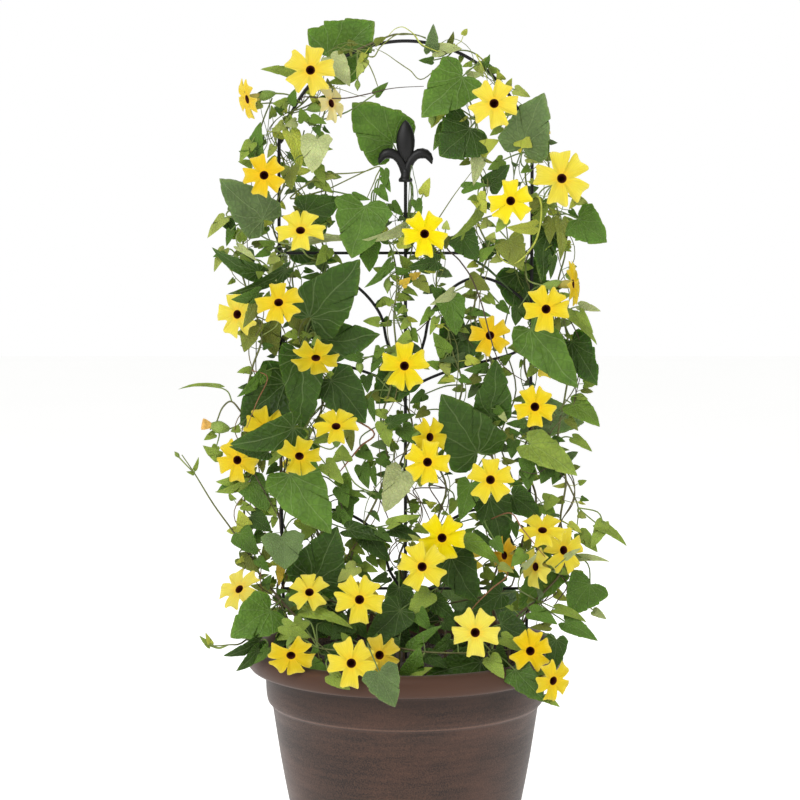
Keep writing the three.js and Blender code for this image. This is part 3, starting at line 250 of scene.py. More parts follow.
# Leaves: base x, base z, tip x, tip z, depth, how much deeper the tip is, roll, width, tone; the
# tone is the leaf's own green with painted light and shade in part: darker for a leaf in shade,
# paler for one with a sheen
LEAVES = [
    (69, 424, 34, 480, -26, -10, 0, 59, "d"), (-89, 553, -43, 608, -32, -12, 0, 57, "d"),
    (-12, 717, -50, 755, 14, -8, 5, 57, "m"), (-87, 299, -65, 353, -30, -10, 0, 55, "d"),
    (-39, 658, -51, 609, -30, -10, 5, 53, "m"), (-114, 492, -157, 450, -18, -8, 0, 53, "d"),
    (-110, 403, -71, 346, -32, -14, 0, 53, "m"), (108, 596, 127, 545, -14, -6, 0, 49, "d"),
    (-70, 797, -29, 830, -16, -12, 10, 48, "m"), (110, 713, 130, 764, -28, -12, 0, 48, "g"),
    (53, 779, 15, 741, -26, -12, 0, 48, "m"), (57, 545, 38, 497, -20, -8, 0, 46, "d"),
    (-134, 645, -175, 684, -34, -12, 0, 44, "g"), (-70, 494, -38, 452, -20, -6, 0, 44, "d"),
    (119, 542, 164, 486, -36, -14, 0, 44, "m"), (60, 731, 39, 701, -20, -8, 0, 44, "d"),
    (118, 457, 170, 453, -20, -10, -10, 44, "g"), (-130, 272, -168, 245, -60, -12, 0, 44, "m"),
    (-100, 517, -99, 445, -28, -12, -10, 43, "d"), (-85, 530, -24, 537, -26, -8, 5, 42, "d"),
    (-3, 501, -28, 471, -14, -6, 0, 42, "d"), (43, 324, 68, 280, -40, -8, 0, 42, "d"),
    (-70, 279, -96, 269, 92, 24, 0, 42, "d"), (18, 278, 39, 270, 98, 24, 0, 42, "d"),
    (177, 297, 158, 268, -30, -8, 0, 40, "m"), (73, 223, 20, 208, -112, -10, -10, 40, "d"),
    (-118, 343, -115, 311, -44, -8, 0, 40, "g"), (80, 459, 86, 513, -22, -8, 10, 38, "d"),
    (141, 315, 108, 273, -34, -10, 0, 38, "m"), (54, 279, 77, 270, 92, 24, 0, 38, "m"),
    (-84, 284, -120, 276, 80, 18, 0, 38, "m"), (-106, 448, -167, 432, -36, -10, -25, 36, "d"),
    (163, 646, 190, 624, -28, -8, 0, 36, "m"), (81, 380, 95, 330, -28, -10, 0, 36, "d"),
    (-25, 211, -10, 177, -146, -12, 0, 36, "g"), (-28, 278, -30, 269, 98, 62, 0, 36, "m"),
    (83, 282, 118, 274, 80, 45, 0, 36, "d"), (-95, 653, -60, 665, -20, -8, 15, 34, "d"),
    (158, 530, 182, 488, -22, -8, 10, 34, "d"), (-5, 272, -38, 238, -80, -10, 0, 34, "d"),
    (43, 282, 64, 311, 84, 20, 185, 34, "d"), (119, 432, 164, 402, -30, -8, -15, 32, "l"),
    (-53, 282, -72, 306, 84, 20, 175, 32, "d"), (-5, 278, -7, 306, 92, 22, 180, 32, "m"),
    (-83, 721, -88, 689, -30, -10, 15, 30, "p"), (-3, 405, -20, 367, -28, -8, 0, 30, "p"),
    (91, 258, 125, 237, -78, -8, -10, 30, "d"), (-100, 558, -92, 528, -16, -6, 10, 28, "o"),
    (97, 626, 110, 598, -22, -6, 0, 28, "o"), (53, 630, 68, 607, -22, -6, 0, 28, "d"),
    (102, 382, 129, 361, -18, -6, 0, 28, "d"), (106, 213, 134, 182, -104, -10, 0, 28, "n"),
    (-148, 396, -131, 367, -22, -5, 0, 28, "m"), (42, 570, 48, 536, -24, -8, -10, 27, "m"),
    (132, 634, 128, 586, -18, -8, -10, 26, "d"), (-88, 656, -77, 628, -8, -4, -15, 25, "d"),
    (-36, 624, -34, 596, -16, -6, -20, 25, "m"), (158, 471, 185, 449, -24, -6, -20, 25, "j"),
    (62, 394, 52, 359, -34, -8, -10, 25, "m"), (-9, 254, 4, 233, -70, -5, 0, 25, "d"),
    (-6, 293, -5, 260, -44, -6, -10, 25, "d"), (92, 288, 64, 272, -40, -8, -20, 25, "d"),
    (6, 208, 14, 236, -110, -6, 0, 24, "m"), (-70, 796, -52, 770, 2, -6, -20, 23, "p"),
    (-139, 596, -183, 619, -26, -8, -40, 23, "d"), (-103, 617, -62, 606, -22, -4, 20, 23, "d"),
    (-145, 549, -153, 520, -20, -6, 0, 23, "o"), (-130, 545, -123, 516, -16, -4, 0, 23, "o"),
    (-38, 346, -15, 319, -26, -5, 0, 23, "d"), (145, 243, 141, 209, -90, -6, 0, 23, "d"),
    (-95, 260, -74, 245, -70, -4, 0, 23, "d"), (-158, 346, -141, 326, -30, -5, 0, 23, "m"),
    (-55, 260, -72, 243, -84, -8, 0, 23, "d"), (-140, 704, -136, 737, -14, -8, -35, 21, "m"),
    (68, 720, 64, 677, -24, -8, -25, 21, "p"), (79, 677, 98, 697, -18, -6, 0, 21, "d"),
    (58, 339, 91, 316, -50, -6, -35, 21, "j"), (22, 288, 2, 266, -70, -6, 0, 21, "l"),
    (-120, 252, -91, 250, -88, -6, -15, 21, "l"), (-147, 363, -128, 348, -24, -4, 0, 21, "d"),
    (-108, 727, -99, 691, -16, -6, -30, 19, "y"), (-108, 694, -107, 673, -26, -6, 20, 19, "o"),
    (-103, 621, -45, 626, -40, -10, -55, 19, "p"), (-114, 598, -168, 575, -24, -8, -45, 19, "d"),
    (154, 260, 185, 242, -55, -6, -20, 19, "m"), (-55, 350, -15, 338, -34, -6, -30, 19, "d"),
    (-60, 417, -60, 432, -34, -3, 0, 19, "l"), (27, 282, 50, 260, -52, -6, 10, 19, "d"),
    (82, 225, 95, 205, -112, -6, 0, 18, "l"), (-1, 639, -41, 626, -36, -8, -50, 17, "p"),
    (-151, 573, -142, 553, -14, -4, 10, 17, "o"), (107, 722, 119, 713, -30, -4, 0, 17, "y"),
    (61, 589, 80, 579, -26, -4, 0, 17, "o"), (116, 417, 116, 399, -22, -4, 0, 17, "m"),
    (133, 377, 148, 379, -24, -4, 0, 17, "l"), (121, 270, 146, 258, -60, -6, -20, 17, "m"),
    (-76, 413, -59, 394, -34, -5, 0, 17, "l"), (-13, 350, 18, 338, -30, -5, -30, 17, "d"),
    (10, 270, 24, 252, -76, -5, 0, 17, "m"), (5, 232, 35, 257, -90, -6, -35, 17, "m"),
    (-95, 270, -50, 254, -84, -8, -40, 17, "l"), (-153, 350, -159, 369, -26, -5, 0, 17, "y"),
    (-21, 452, -16, 429, -30, -4, 0, 17, "l"), (-3, 448, 10, 432, -26, -4, 0, 17, "m"),
    (-140, 242, -175, 227, -70, -6, -35, 17, "d"), (71, 711, 88, 720, -22, -4, -5, 16, "y"),
    (68, 668, 76, 651, -24, -4, 10, 16, "y"), (30, 606, 2, 601, -26, -4, -20, 16, "d"),
    (-72, 208, -53, 194, -147, -5, 0, 16, "l"), (-77, 228, -56, 242, -100, -5, -20, 16, "d"),
    (19, 228, 41, 215, -100, -5, -20, 16, "d"), (-48, 314, -65, 299, -40, -5, 10, 16, "k"),
    (-139, 576, -165, 570, -50, -6, -30, 16, "n"), (37, 570, 24, 582, -20, -4, 0, 16, "n"),
    (38, 520, 26, 539, -22, -4, 0, 16, "j"), (-61, 400, -51, 384, -16, -4, 0, 16, "j"),
    (116, 407, 117, 388, -20, -4, 0, 16, "m"), (-80, 260, -69, 246, -86, -4, 0, 16, "d"),
    (-47, 260, -37, 245, -80, -4, 0, 16, "d"), (-13, 243, -17, 221, -96, -4, 0, 16, "d"),
    (2, 264, 13, 249, -70, -4, 0, 16, "d"), (22, 251, 35, 237, -88, -4, 0, 16, "d"),
    (-117, 257, -91, 245, -94, -6, 0, 16, "l"), (-99, 262, -108, 245, -92, -6, 0, 16, "l"),
    (-131, 425, -168, 430, -42, -6, 0, 16, "d"), (-157, 399, -180, 386, -14, -4, 0, 16, "m"),
    (-62, 390, -55, 371, -26, -4, 0, 16, "m"), (-57, 378, -53, 353, -14, -4, 0, 16, "m"),
    (-133, 502, -160, 477, -18, -6, -30, 15, "m"), (153, 557, 182, 527, -30, -6, -45, 15, "l"),
    (138, 646, 136, 622, -24, -6, 15, 15, "o"), (80, 621, 76, 606, -16, -2, 0, 15, "d"),
    (122, 639, 95, 638, -30, -4, -25, 15, "y"), (127, 658, 123, 634, -20, -6, 0, 15, "l"),
    (130, 419, 131, 401, -22, -4, 10, 15, "m"), (143, 417, 145, 399, -20, -4, -10, 15, "m"),
    (167, 346, 184, 328, -20, -6, -10, 15, "l"), (-42, 411, -35, 389, -22, -5, 0, 15, "m"),
    (-66, 367, -47, 352, -24, -4, 0, 15, "m"), (93, 245, 113, 231, -90, -5, -10, 15, "l"),
    (-158, 322, -139, 308, -30, -4, -10, 15, "o"), (-43, 427, -30, 417, -24, -3, 0, 15, "m"),
    (-141, 233, -163, 212, -76, -6, -20, 15, "d"), (-101, 360, -88, 346, -18, -4, 0, 15, "l"),
    (-51, 243, -69, 251, -86, -5, -20, 15, "d"), (43, 243, 24, 231, -92, -5, -20, 15, "n"),
    (113, 327, 101, 314, -70, -4, 10, 15, "j"), (-54, 326, -39, 313, -22, -4, 0, 15, "l"),
    (-1, 527, 3, 542, -18, -3, 0, 15, "l"), (-51, 382, -57, 368, -14, -4, 0, 15, "m"),
    (136, 409, 129, 394, -24, -4, 0, 15, "n"), (-115, 247, -128, 235, -60, -4, -10, 15, "d"),
    (37, 260, 50, 252, -70, -4, -10, 15, "d"), (87, 233, 99, 215, -100, -4, 0, 15, "d"),
    (-169, 645, -160, 630, -12, -4, -10, 14, "d"), (147, 644, 146, 606, -26, -6, -20, 14, "o"),
    (24, 803, 26, 828, -8, -3, 0, 14, "g"), (28, 803, 53, 805, -8, -3, -20, 14, "q"),
    (54, 235, 39, 243, -92, -4, -20, 14, "d"), (-73, 617, -85, 602, -26, -4, 0, 14, "l"),
    (-140, 568, -154, 543, -48, -5, 0, 14, "o"), (-155, 398, -181, 396, -24, -4, -20, 14, "l"),
    (94, 444, 103, 432, -16, -3, 0, 14, "o"), (132, 373, 144, 362, -20, -3, 0, 14, "j"),
    (12, 589, 23, 576, -24, -4, 0, 14, "o"), (147, 408, 140, 393, -20, -4, 0, 14, "n"),
    (189, 356, 177, 331, -24, -4, 0, 14, "l"), (38, 733, 26, 710, -12, -4, 0, 14, "m"),
    (107, 562, 104, 545, -40, -4, 0, 14, "d"), (-104, 781, -136, 786, -10, -6, 30, 13, "l"),
    (-145, 717, -156, 699, -22, -6, 20, 13, "l"), (-119, 429, -131, 411, -30, -4, 0, 13, "l"),
    (70, 654, 42, 626, -26, -8, -45, 13, "l"), (-15, 604, -39, 581, -24, -6, -35, 13, "m"),
    (45, 577, 23, 565, -24, -5, -30, 13, "p"), (185, 354, 212, 334, -24, -6, -35, 13, "l"),
    (145, 273, 174, 260, -50, -6, -35, 13, "l"), (-90, 221, -74, 213, -112, -3, 0, 13, "m"),
    (-152, 395, -182, 386, -26, -5, -40, 13, "l"), (-15, 452, 10, 461, -34, -4, -20, 13, "d"),
    (-131, 377, -123, 361, -22, -4, 0, 13, "l"), (-130, 332, -138, 317, -22, -4, 0, 13, "o"),
    (85, 340, 94, 327, -72, -4, 0, 13, "m"), (123, 666, 118, 651, -22, -4, 0, 13, "o"),
    (-137, 347, -147, 335, -18, -3, 0, 13, "m"), (-147, 324, -156, 311, -16, -3, 0, 13, "o"),
    (-95, 447, -99, 433, -20, -3, 0, 13, "l"), (66, 344, 87, 333, -30, -4, -20, 13, "d"),
    (75, 309, 89, 301, -22, -3, 0, 13, "l"), (103, 435, 101, 418, -20, -3, 0, 13, "n"),
    (-82, 694, -76, 678, -20, -4, 0, 12, "l"), (-171, 647, -187, 628, -18, -6, 20, 12, "k"),
    (-15, 355, 14, 363, -38, -5, -30, 12, "l"), (-90, 352, -100, 339, -20, -4, 10, 12, "l"),
    (-128, 293, -149, 296, -18, -4, -20, 12, "k"), (18, 480, 4, 471, -20, -3, 0, 12, "n"),
    (-95, 738, -99, 750, -22, -3, 0, 12, "j"), (91, 701, 77, 692, -22, -3, -10, 12, "j"),
    (94, 646, 85, 633, -24, -4, 0, 12, "l"), (32, 746, 24, 731, -16, -4, 0, 12, "y"),
    (-24, 419, -13, 407, -22, -3, 0, 12, "m"), (-178, 420, -193, 431, -22, -4, 0, 12, "l"),
    (-37, 497, -36, 481, -24, -4, 0, 12, "d"), (-171, 617, -181, 596, -14, -4, 20, 11, "k"),
    (55, 675, 77, 678, -20, -4, -10, 11, "m"), (10, 663, 15, 649, -24, -4, 0, 11, "m"),
    (17, 670, 23, 685, -20, -3, 0, 11, "y"), (-13, 660, -3, 649, -22, -3, 0, 11, "m"),
    (160, 438, 178, 425, -20, -4, -20, 11, "l"), (164, 322, 196, 319, -24, -4, -45, 11, "q"),
    (7, 207, 26, 216, -112, -4, -20, 11, "l"), (-141, 321, -130, 309, -34, -3, 0, 11, "m"),
    (-132, 235, -146, 219, -80, -3, -20, 11, "m"), (-122, 611, -131, 603, -28, -3, 0, 11, "k"),
    (-136, 602, -139, 589, -24, -4, 0, 11, "l"), (70, 610, 85, 621, -26, -3, 0, 11, "j"),
    (5, 540, 12, 529, -16, -3, 0, 11, "j"), (37, 509, 42, 497, -20, -3, 0, 11, "k"),
    (69, 497, 57, 489, -22, -3, 0, 11, "o"), (20, 465, 9, 457, -22, -3, 0, 11, "o"),
    (-108, 754, -103, 768, -16, -4, 0, 11, "m"), (-112, 755, -125, 754, -18, -3, -20, 11, "l"),
    (-82, 686, -64, 685, -18, -3, -20, 11, "k"), (-82, 681, -68, 670, -16, -3, -10, 11, "l"),
    (-39, 794, -46, 778, -10, -4, 0, 11, "k"), (94, 305, 83, 297, -24, -3, 0, 11, "m"),
    (167, 305, 158, 311, -22, -3, 0, 11, "l"), (-54, 445, -51, 425, -26, -4, 0, 11, "o"),
    (77, 505, 55, 503, -22, -3, 0, 11, "n"), (-25, 675, -16, 662, -22, -3, 0, 11, "m"),
    (-18, 304, -33, 300, -60, -3, 0, 11, "d"), (103, 767, 117, 760, -20, -4, 0, 10, "k"),
    (-20, 692, -20, 675, -22, -3, -20, 10, "m"), (89, 566, 99, 556, -18, -3, 0, 10, "m"),
    (165, 564, 185, 559, -26, -4, -20, 10, "p"), (-104, 373, -98, 360, -16, -3, 0, 10, "j"),
    (-34, 324, -26, 313, -20, -3, 0, 10, "j"), (-126, 620, -139, 626, -24, -3, 0, 10, "j"),
    (-128, 600, -122, 587, -22, -4, 0, 10, "q"), (-24, 524, -30, 511, -22, -3, 0, 10, "j"),
    (42, 496, 30, 490, -20, -3, 0, 10, "l"), (67, 486, 59, 476, -20, -3, 0, 10, "g"),
    (122, 505, 115, 496, -18, -3, 0, 10, "l"), (142, 551, 146, 540, -56, -3, 0, 10, "o"),
    (-103, 737, -114, 733, -20, -3, -20, 10, "q"), (-88, 740, -74, 735, -26, -3, -20, 10, "j"),
    (-115, 735, -126, 728, -20, -3, -20, 10, "k"), (115, 703, 130, 699, -24, -3, -20, 10, "k"),
    (78, 644, 70, 636, -22, -3, 0, 10, "k"), (80, 626, 84, 634, -24, -3, 0, 10, "k"),
    (162, 664, 172, 661, -24, -3, 0, 10, "k"), (-2, 639, 2, 621, -14, -3, 0, 10, "l"),
    (-74, 439, -90, 433, -14, -3, 0, 10, "l"), (-19, 461, -34, 464, -22, -3, 0, 10, "l"),
    (-51, 335, -38, 325, -22, -3, 0, 10, "l"), (-40, 315, -26, 309, -20, -3, 0, 10, "l"),
    (90, 430, 101, 425, -18, -3, 0, 10, "g"), (105, 440, 99, 448, -16, -3, 0, 10, "m"),
    (47, 378, 42, 364, -22, -3, 0, 10, "l"), (4, 359, 14, 364, -20, -3, 0, 10, "j"),
    (52, 357, 39, 350, -20, -3, 0, 10, "m"), (98, 311, 110, 303, -26, -3, 0, 10, "m"),
    (144, 313, 156, 306, -26, -3, 0, 10, "l"), (113, 452, 95, 452, -20, -3, 0, 10, "n"),
    (-42, 515, -60, 515, -22, -3, 0, 10, "n"), (-26, 515, -33, 500, -24, -3, 0, 10, "m"),
    (-26, 349, -12, 337, -40, -3, 0, 10, "n"), (-20, 685, -14, 671, -20, -3, 10, 9, "m"),
    (61, 559, 82, 554, -20, -3, -20, 9, "m"), (-28, 763, -16, 774, -12, -3, 0, 9, "m"),
    (181, 271, 193, 263, -30, -3, 0, 9, "q"), (134, 186, 149, 177, -118, -4, -20, 9, "l"),
    (86, 466, 96, 459, -28, -2, 0, 9, "m"), (-177, 487, -216, 485, -12, -4, 60, 9, "l"),
    (-124, 286, -116, 276, -26, -3, 0, 9, "m"), (-115, 282, -105, 272, -30, -3, 0, 9, "g"),
    (-105, 293, -111, 284, -28, -3, 0, 9, "m"), (-119, 314, -121, 295, -22, -4, 0, 9, "f"),
    (91, 315, 104, 308, -66, -3, -20, 9, "k"), (-24, 321, -19, 309, -18, -3, 0, 9, "l"),
    (-42, 309, -32, 300, -20, -3, 0, 9, "j"), (-119, 606, -126, 596, -22, -3, 0, 9, "k"),
    (2, 549, -5, 541, -18, -3, 0, 9, "l"), (-3, 584, 5, 591, -22, -3, 0, 9, "f"),
    (89, 610, 79, 605, -22, -3, 0, 9, "k"), (24, 560, 13, 545, -18, -4, 0, 9, "j"),
    (31, 507, 19, 511, -18, -3, 0, 9, "j"), (92, 511, 101, 518, -18, -3, 0, 9, "j"),
    (-136, 754, -145, 749, -14, -3, 0, 9, "k"), (67, 789, 73, 778, -12, -3, 0, 9, "k"),
    (5, 371, 15, 373, -20, -3, 0, 9, "j"), (-3, 342, 17, 340, -34, -3, -20, 9, "k"),
    (54, 344, 66, 352, -20, -3, 0, 9, "j"), (-35, 475, -29, 453, -24, -3, 0, 9, "n"),
    (10, 352, 23, 346, -24, -3, 0, 9, "l"), (139, 610, 137, 589, -30, -3, 0, 9, "n"),
    (104, 356, 106, 341, -40, -3, 0, 9, "n"), (138, 256, 119, 255, -60, -3, 0, 9, "o"),
    (-56, 776, -73, 773, -8, -3, 0, 9, "l"), (-130, 616, -143, 610, -24, -3, 0, 9, "m"),
    (165, 558, 178, 538, -30, -3, 0, 9, "l"), (58, 780, 73, 781, -16, -3, 0, 9, "q"),
    (89, 732, 79, 724, -16, -3, 0, 9, "l"), (25, 794, 12, 794, -12, -3, -10, 8, "m"),
    (-182, 442, -192, 436, -12, -2, 0, 8, "l"), (-180, 430, -186, 421, -12, -2, 0, 8, "l"),
    (-111, 270, -101, 278, -34, -3, 20, 8, "o"), (-122, 270, -115, 260, -36, -3, 0, 8, "n"),
    (113, 314, 126, 327, -74, -3, 30, 8, "p"), (166, 365, 173, 361, -20, -3, 0, 8, "k"),
    (-158, 620, -140, 606, -34, -3, -20, 8, "q"), (0, 562, -8, 557, -18, -3, 0, 8, "l"),
    (6, 591, 15, 596, -22, -3, 0, 8, "f"), (-84, 732, -80, 723, -26, -3, 0, 8, "n"),
    (116, 694, 108, 689, -22, -3, 0, 8, "j"), (38, 637, 39, 645, -62, -2, 0, 8, "k"),
    (122, 427, 125, 419, -26, -2, 0, 8, "r"), (-32, 409, -28, 390, -24, -3, 0, 8, "m"),
    (-49, 668, -33, 664, -24, -3, 0, 8, "m"), (-165, 635, -169, 620, -24, -3, 0, 8, "m"),
    (-137, 416, -136, 404, -20, -3, 0, 8, "o"), (-124, 714, -130, 703, -16, -3, 0, 8, "k"),
    (-83, 592, -99, 591, -24, -3, 0, 8, "n"), (161, 665, 154, 655, -20, -3, 0, 8, "y"),
    (29, 552, 23, 536, -24, -3, 0, 8, "l"), (154, 323, 168, 332, -74, -3, -20, 7, "q"),
    (91, 461, 97, 453, -30, -3, 0, 7, "q"), (-53, 386, -36, 380, -18, -3, -20, 7, "j"),
    (-125, 361, -127, 351, -24, -3, 0, 7, "l"), (75, 789, 79, 800, -10, -2, 0, 6, "m"),
    (-188, 237, -198, 247, -62, -2, 0, 6, "l"), (-187, 239, -192, 250, -62, -2, 0, 6, "y"),
    (-201, 408, -197, 420, -10, -2, 20, 5, "l"), (-202, 404, -209, 406, -10, -2, 0, 4, "l"),
]
# Leaves that spread wider than their plain solids, by their place in that list
SPREAD = {
    8: (-70, 797, -29, 830, 20, -12, -4, 62, "m"),
    15: (60, 731, 32, 705, -20, -8, 0, 54, "d"),
}
# Closed buds: x, z, depth, turned to the right, turned up, size
BUDS = [
    (-45, 768, -12, 0, -70, 0.6), (-17, 579, -16, 0, -75, 0.85), (-43, 502, -24, 10, -50, 0.85),
    (-185, 450, -14, -80, 12, 1.35), (-219, 424, -8, -50, 50, 0.45), (25, 735, -22, 0, -60, 0.8),
]
OPENING_BUD = 3  # its rolled petals show: how far along the bud, and their radius there
ROLLED_PETALS = [(8, 1.6), (14, 2.6), (18, 3.0), (23, 5.2), (26, 5.6)]
# Thin tendrils and arcs: the vine that each grows from, its points, its half thickness, tone
TENDRILS = [
    ("vine_right_leg", [
        (33, 802, -10), (23, 805, -12), (14, 810, -12), (9, 817, -11), (3, 822, -10),
        (-3, 825, -10), (-10, 823, -9), (-16, 817, -8), (-23, 810, -8),
    ], 0.5, "y"),
    ("vine_left_leg", [
        (-31, 797, -12), (-24, 806, -12), (-16, 813, -11), (-8, 818, -10), (1, 819, -9),
        (12, 817, -8), (21, 813, -7),
    ], 0.6, "o"),
    ("vine_right_leg", [
        (17, 777, -12), (4, 785, -10), (-8, 793, -9), (-18, 800, -8), (-28, 805, -8),
    ], 0.5, "o"),
    ("vine_left_leg", [
        (-40, 794, -10), (-35, 791, -12), (-30, 781, -13), (-26, 770, -12), (-23, 764, -12),
    ], 0.6, "o"),
    ("vine_left_leg", [
        (-96, 760, -20), (-78, 759, -24), (-56, 759, -24), (-35, 763, -20), (-19, 767, -16),
        (-4, 769, -12), (17, 770, -10),
    ], 0.6, "s"),
    ("vine_left_leg", [
        (-92, 766, -30), (-82, 768, -32), (-71, 769, -30), (-60, 767, -24), (-46, 762, -18),
        (-37, 760, -16),
    ], 0.4, "o"),
    ("vine_left_inner", [
        (-108, 665, -20), (-95, 677, -22), (-82, 685, -22), (-69, 688, -20), (-52, 689, -18),
        (-37, 691, -14), (-27, 695, -12),
    ], 0.8, "o"),
    ("vine_left_inner", [
        (-27, 695, -12), (-28, 685, -12), (-33, 673, -14), (-37, 664, -16),
    ], 0.6, "o"),
    ("vine_right_leg", [(66, 800, -14), (71, 790, -14), (75, 781, -13), (77, 774, -12)], 0.6, "y"),
    ("vine_rod", [(5, 694, -8), (8, 686, -12), (11, 673, -14), (12, 660, -14)], 0.35, "g"),
    ("vine_right_inner", [
        (39, 623, -16), (51, 607, -30), (62, 591, -48), (72, 566, -74), (80, 536, -80),
        (88, 513, -70), (101, 500, -50), (116, 491, -36),
    ], 0.7, "s"),
    ("vine_right_leg", [
        (125, 667, -30), (128, 657, -34), (126, 636, -36), (119, 619, -34), (103, 604, -28),
        (89, 610, -26), (84, 625, -22),
    ], 0.9, "y"),
    ("vine_center_right", [(10, 610, -10), (40, 660, -16), (62, 690, -18)], 0.6, "o"),
    ("vine_right_leg", [
        (66, 610, -14), (78, 599, -16), (90, 588, -16), (101, 577, -14),
    ], 1.2, "d"),
    ("vine_left_leg", [(-123, 430, -16), (-150, 400, -22), (-128, 330, -24)], 0.6, "r"),
    ("vine_right_outer", [(150, 560, -22), (168, 520, -26), (160, 470, -24)], 0.6, "s"),
    ("vine_center_left", [
        (-30, 391, -20), (-19, 367, -24), (-13, 350, -26), (-5, 324, -30),
    ], 0.55, "s"),
    ("vine_left_inner", [(-65, 379, -26), (-58, 359, -24), (-49, 346, -24)], 0.5, "s"),
    ("vine_center_right", [
        (8, 389, -24), (16, 375, -26), (23, 360, -28), (27, 350, -28),
    ], 0.6, "s"),
    ("vine_center_right", [
        (23, 392, -26), (32, 376, -28), (41, 361, -30), (44, 350, -30),
    ], 0.6, "s"),
    ("vine_right_inner", [
        (100, 366, -66), (111, 352, -70), (125, 334, -72), (135, 322, -70),
    ], 0.6, "r"),
    ("vine_right_outer", [(134, 291, -30), (130, 276, -34), (125, 256, -40)], 0.6, "s"),
    ("vine_right_outer", [(155, 295, -34), (144, 278, -40), (133, 256, -44)], 0.6, "s"),
    ("vine_right_inner", [
        (98, 307, -60), (83, 293, -62), (70, 280, -64), (60, 268, -62),
    ], 0.7, "r"),
    ("vine_left_outer", [(-144, 404, -34), (-133, 384, -30), (-120, 359, -26)], 0.6, "s"),
    ("vine_left_inner", [
        (-31, 445, -24), (-43, 430, -30), (-56, 414, -34), (-64, 404, -30),
    ], 0.9, "r"),
    ("vine_left_outer", [(-131, 496, -30), (-141, 473, -66), (-151, 448, -44)], 0.5, "r"),
    ("vine_rod", [(12, 541, -16), (27, 553, -18), (44, 549, -20), (65, 524, -22)], 0.5, "s"),
    ("vine_right_outer", [(140, 411, -26), (124, 404, -30), (109, 407, -28)], 0.5, "s"),
]

TONES_AND_PAINTED_LIGHT = {  # leaf colours by letter, as sRGB hex values: the leaves' own greens, with painted light and shade in part, as darker letters for leaves in shade and paler grey-green ones for a sheen
    "d": "324b12", "n": "425e1d", "m": "517024", "j": "69852c", "l": "84983b", "k": "9ca650",
    "y": "b1b847", "p": "abb37a", "q": "a7b071", "o": "70782e", "g": "5a6e3f", "s": "4a3a2a",
    "r": "8a5c3c", "f": "cbab38",
}
SIDE_STEP = 9  # distance between two points of a side stem
SIDE_STEMS = 2  # along each main stem
YOUNG_TONES = "llyomlg"
BARKS = ["4f3b2b", "6a5534", "6f7f3c", "7d5a3f"]

# Half outlines, from the tip round to the base: share of the length, share of the width
LARGE_HALF = [
    (0.93, 0.075), (0.84, 0.17), (0.75, 0.245), (0.645, 0.32), (0.615, 0.303), (0.53, 0.36),
    (0.42, 0.415), (0.325, 0.468), (0.285, 0.448), (0.17, 0.478), (0.02, 0.525), (-0.035, 0.49),
    (-0.09, 0.43), (-0.165, 0.34), (-0.168, 0.27), (-0.145, 0.17), (-0.1, 0.09), (-0.04, 0.035),
]
SMALL_HALF = [
    (0.9, 0.1), (0.72, 0.235), (0.6, 0.31), (0.49, 0.385), (0.46, 0.36), (0.3, 0.44), (0.1, 0.505),
    (-0.02, 0.5), (-0.12, 0.37), (-0.155, 0.26), (-0.11, 0.12), (-0.04, 0.04),
]
TOOTHED_WIDTH = 26  # a leaf as wide as this has the large outline
# Fineness: from this width, the steps between two points of the outline, and the rings
LEAF_DETAIL = [(30, 3, 6), (15, 2, 4), (0, 1, 3)]
LEAF_HUB = 0.16  # the rings spread from here on the midrib
MIDRIB = 0.04  # half width of the midrib's round fold
FOLD = 0.2
CAMBER = 0.08
TIP_DROOP = 0.165
# The part's source puts a blade's widest corners here; a leaf of LARGE_WIDTH has the first
LARGE_WIDTH = 36
CORNER_SHARES = (0.52, 0.51)
SOLID_WIDTH = 18  # a narrower leaf has no solid of its own
# A stalk starts from the stem point that is nearest to a place so far behind what it carries
LEAF_STALK = 18
SMALL_LEAF_STALK = 9
BLOOM_STALK = 50
BUD_STALK = 30
SAME_POINT = 0.25  # a CAD corner no farther than this is the one looked for
# A leaf hangs behind every second one that is at least so wide and stands so high
BACKED_WIDTH = 29
BACKED_HEIGHT = 300
BACK_DEPTH = 36
# The part's source slides a leaf or bloom along the line of sight until it is clear
SLIDES = [0, 7, -7, 14, -14, 21, -21, 28, -28, 36, -36, 45, -45, 55, 66, 78]

# Half of a petal: share of the way from the notch, or of the radius; half width; height
PETAL_SIDE = [
    (0.1, 0.315, 0.1), (0.3, 0.33, 0.115), (0.55, 0.352, 0.1), (0.78, 0.375, 0.06),
    (1.0, 0.388, 0.02),
]
PETAL_END = [(0.975, 0.355, -0.02), (0.985, 0.27, 0.0), (0.93, 0.14, 0.05)]
PETAL_REACH = 0.93
# A notch between two petals: its share of the radius at the turn of an even bloom, its limits
NOTCH = 0.51
EVEN_TURN = 1.257
NOTCH_LIMITS = (0.36, 0.62)
PETALS = 5
TUBE_LENGTH = 15
PIT_DEPTH = 8.6
BRACT_LENGTH = 13
BRACT_REACH = 4.9  # how far a bract bulges from the tube
BRACT_SPAN = (96, 100)  # how far round a bract reaches to each side, open and closed
BRACT_SKIN = 0.5
BRACT_STEPS = 8
BRACT_COLUMNS = 6

# Seeds of what is drawn at random; a bloom, a bud or a leaf adds its own number
SOIL_SEED = 11
CRUMB_SEED = 4
SIDE_STEM_SEED = 60
BLOOM_SEED = 100
BUD_SEED = 300
LEAF_SEED = 500
BACK_LEAF_SEED = 900

# Lamps: place, size and share of the main lamp's power
LAMPS = {
    "key_lamp": ((-1.1, -1.7, 1.9), None, 1),
    "fill_lamp": ((1.5, -1.5, 1.1), 1.4, 0.2),
    "back_lamp": ((0.6, 1.6, 1.7), 1.2, 0.3),
}
LAMP_AIM = (0, 0, 0.45)
CAMERA_PLACE = (-0.0052, -2.188, 0.7045)
CAMERA_AIM = (-0.0052, 0, 0.4745)
LENS = 104.2
SENSOR = 36
FLOOR_REACH = 6
ROOM_LIGHT = 0.52  # how much of its white the room sheds on the plant

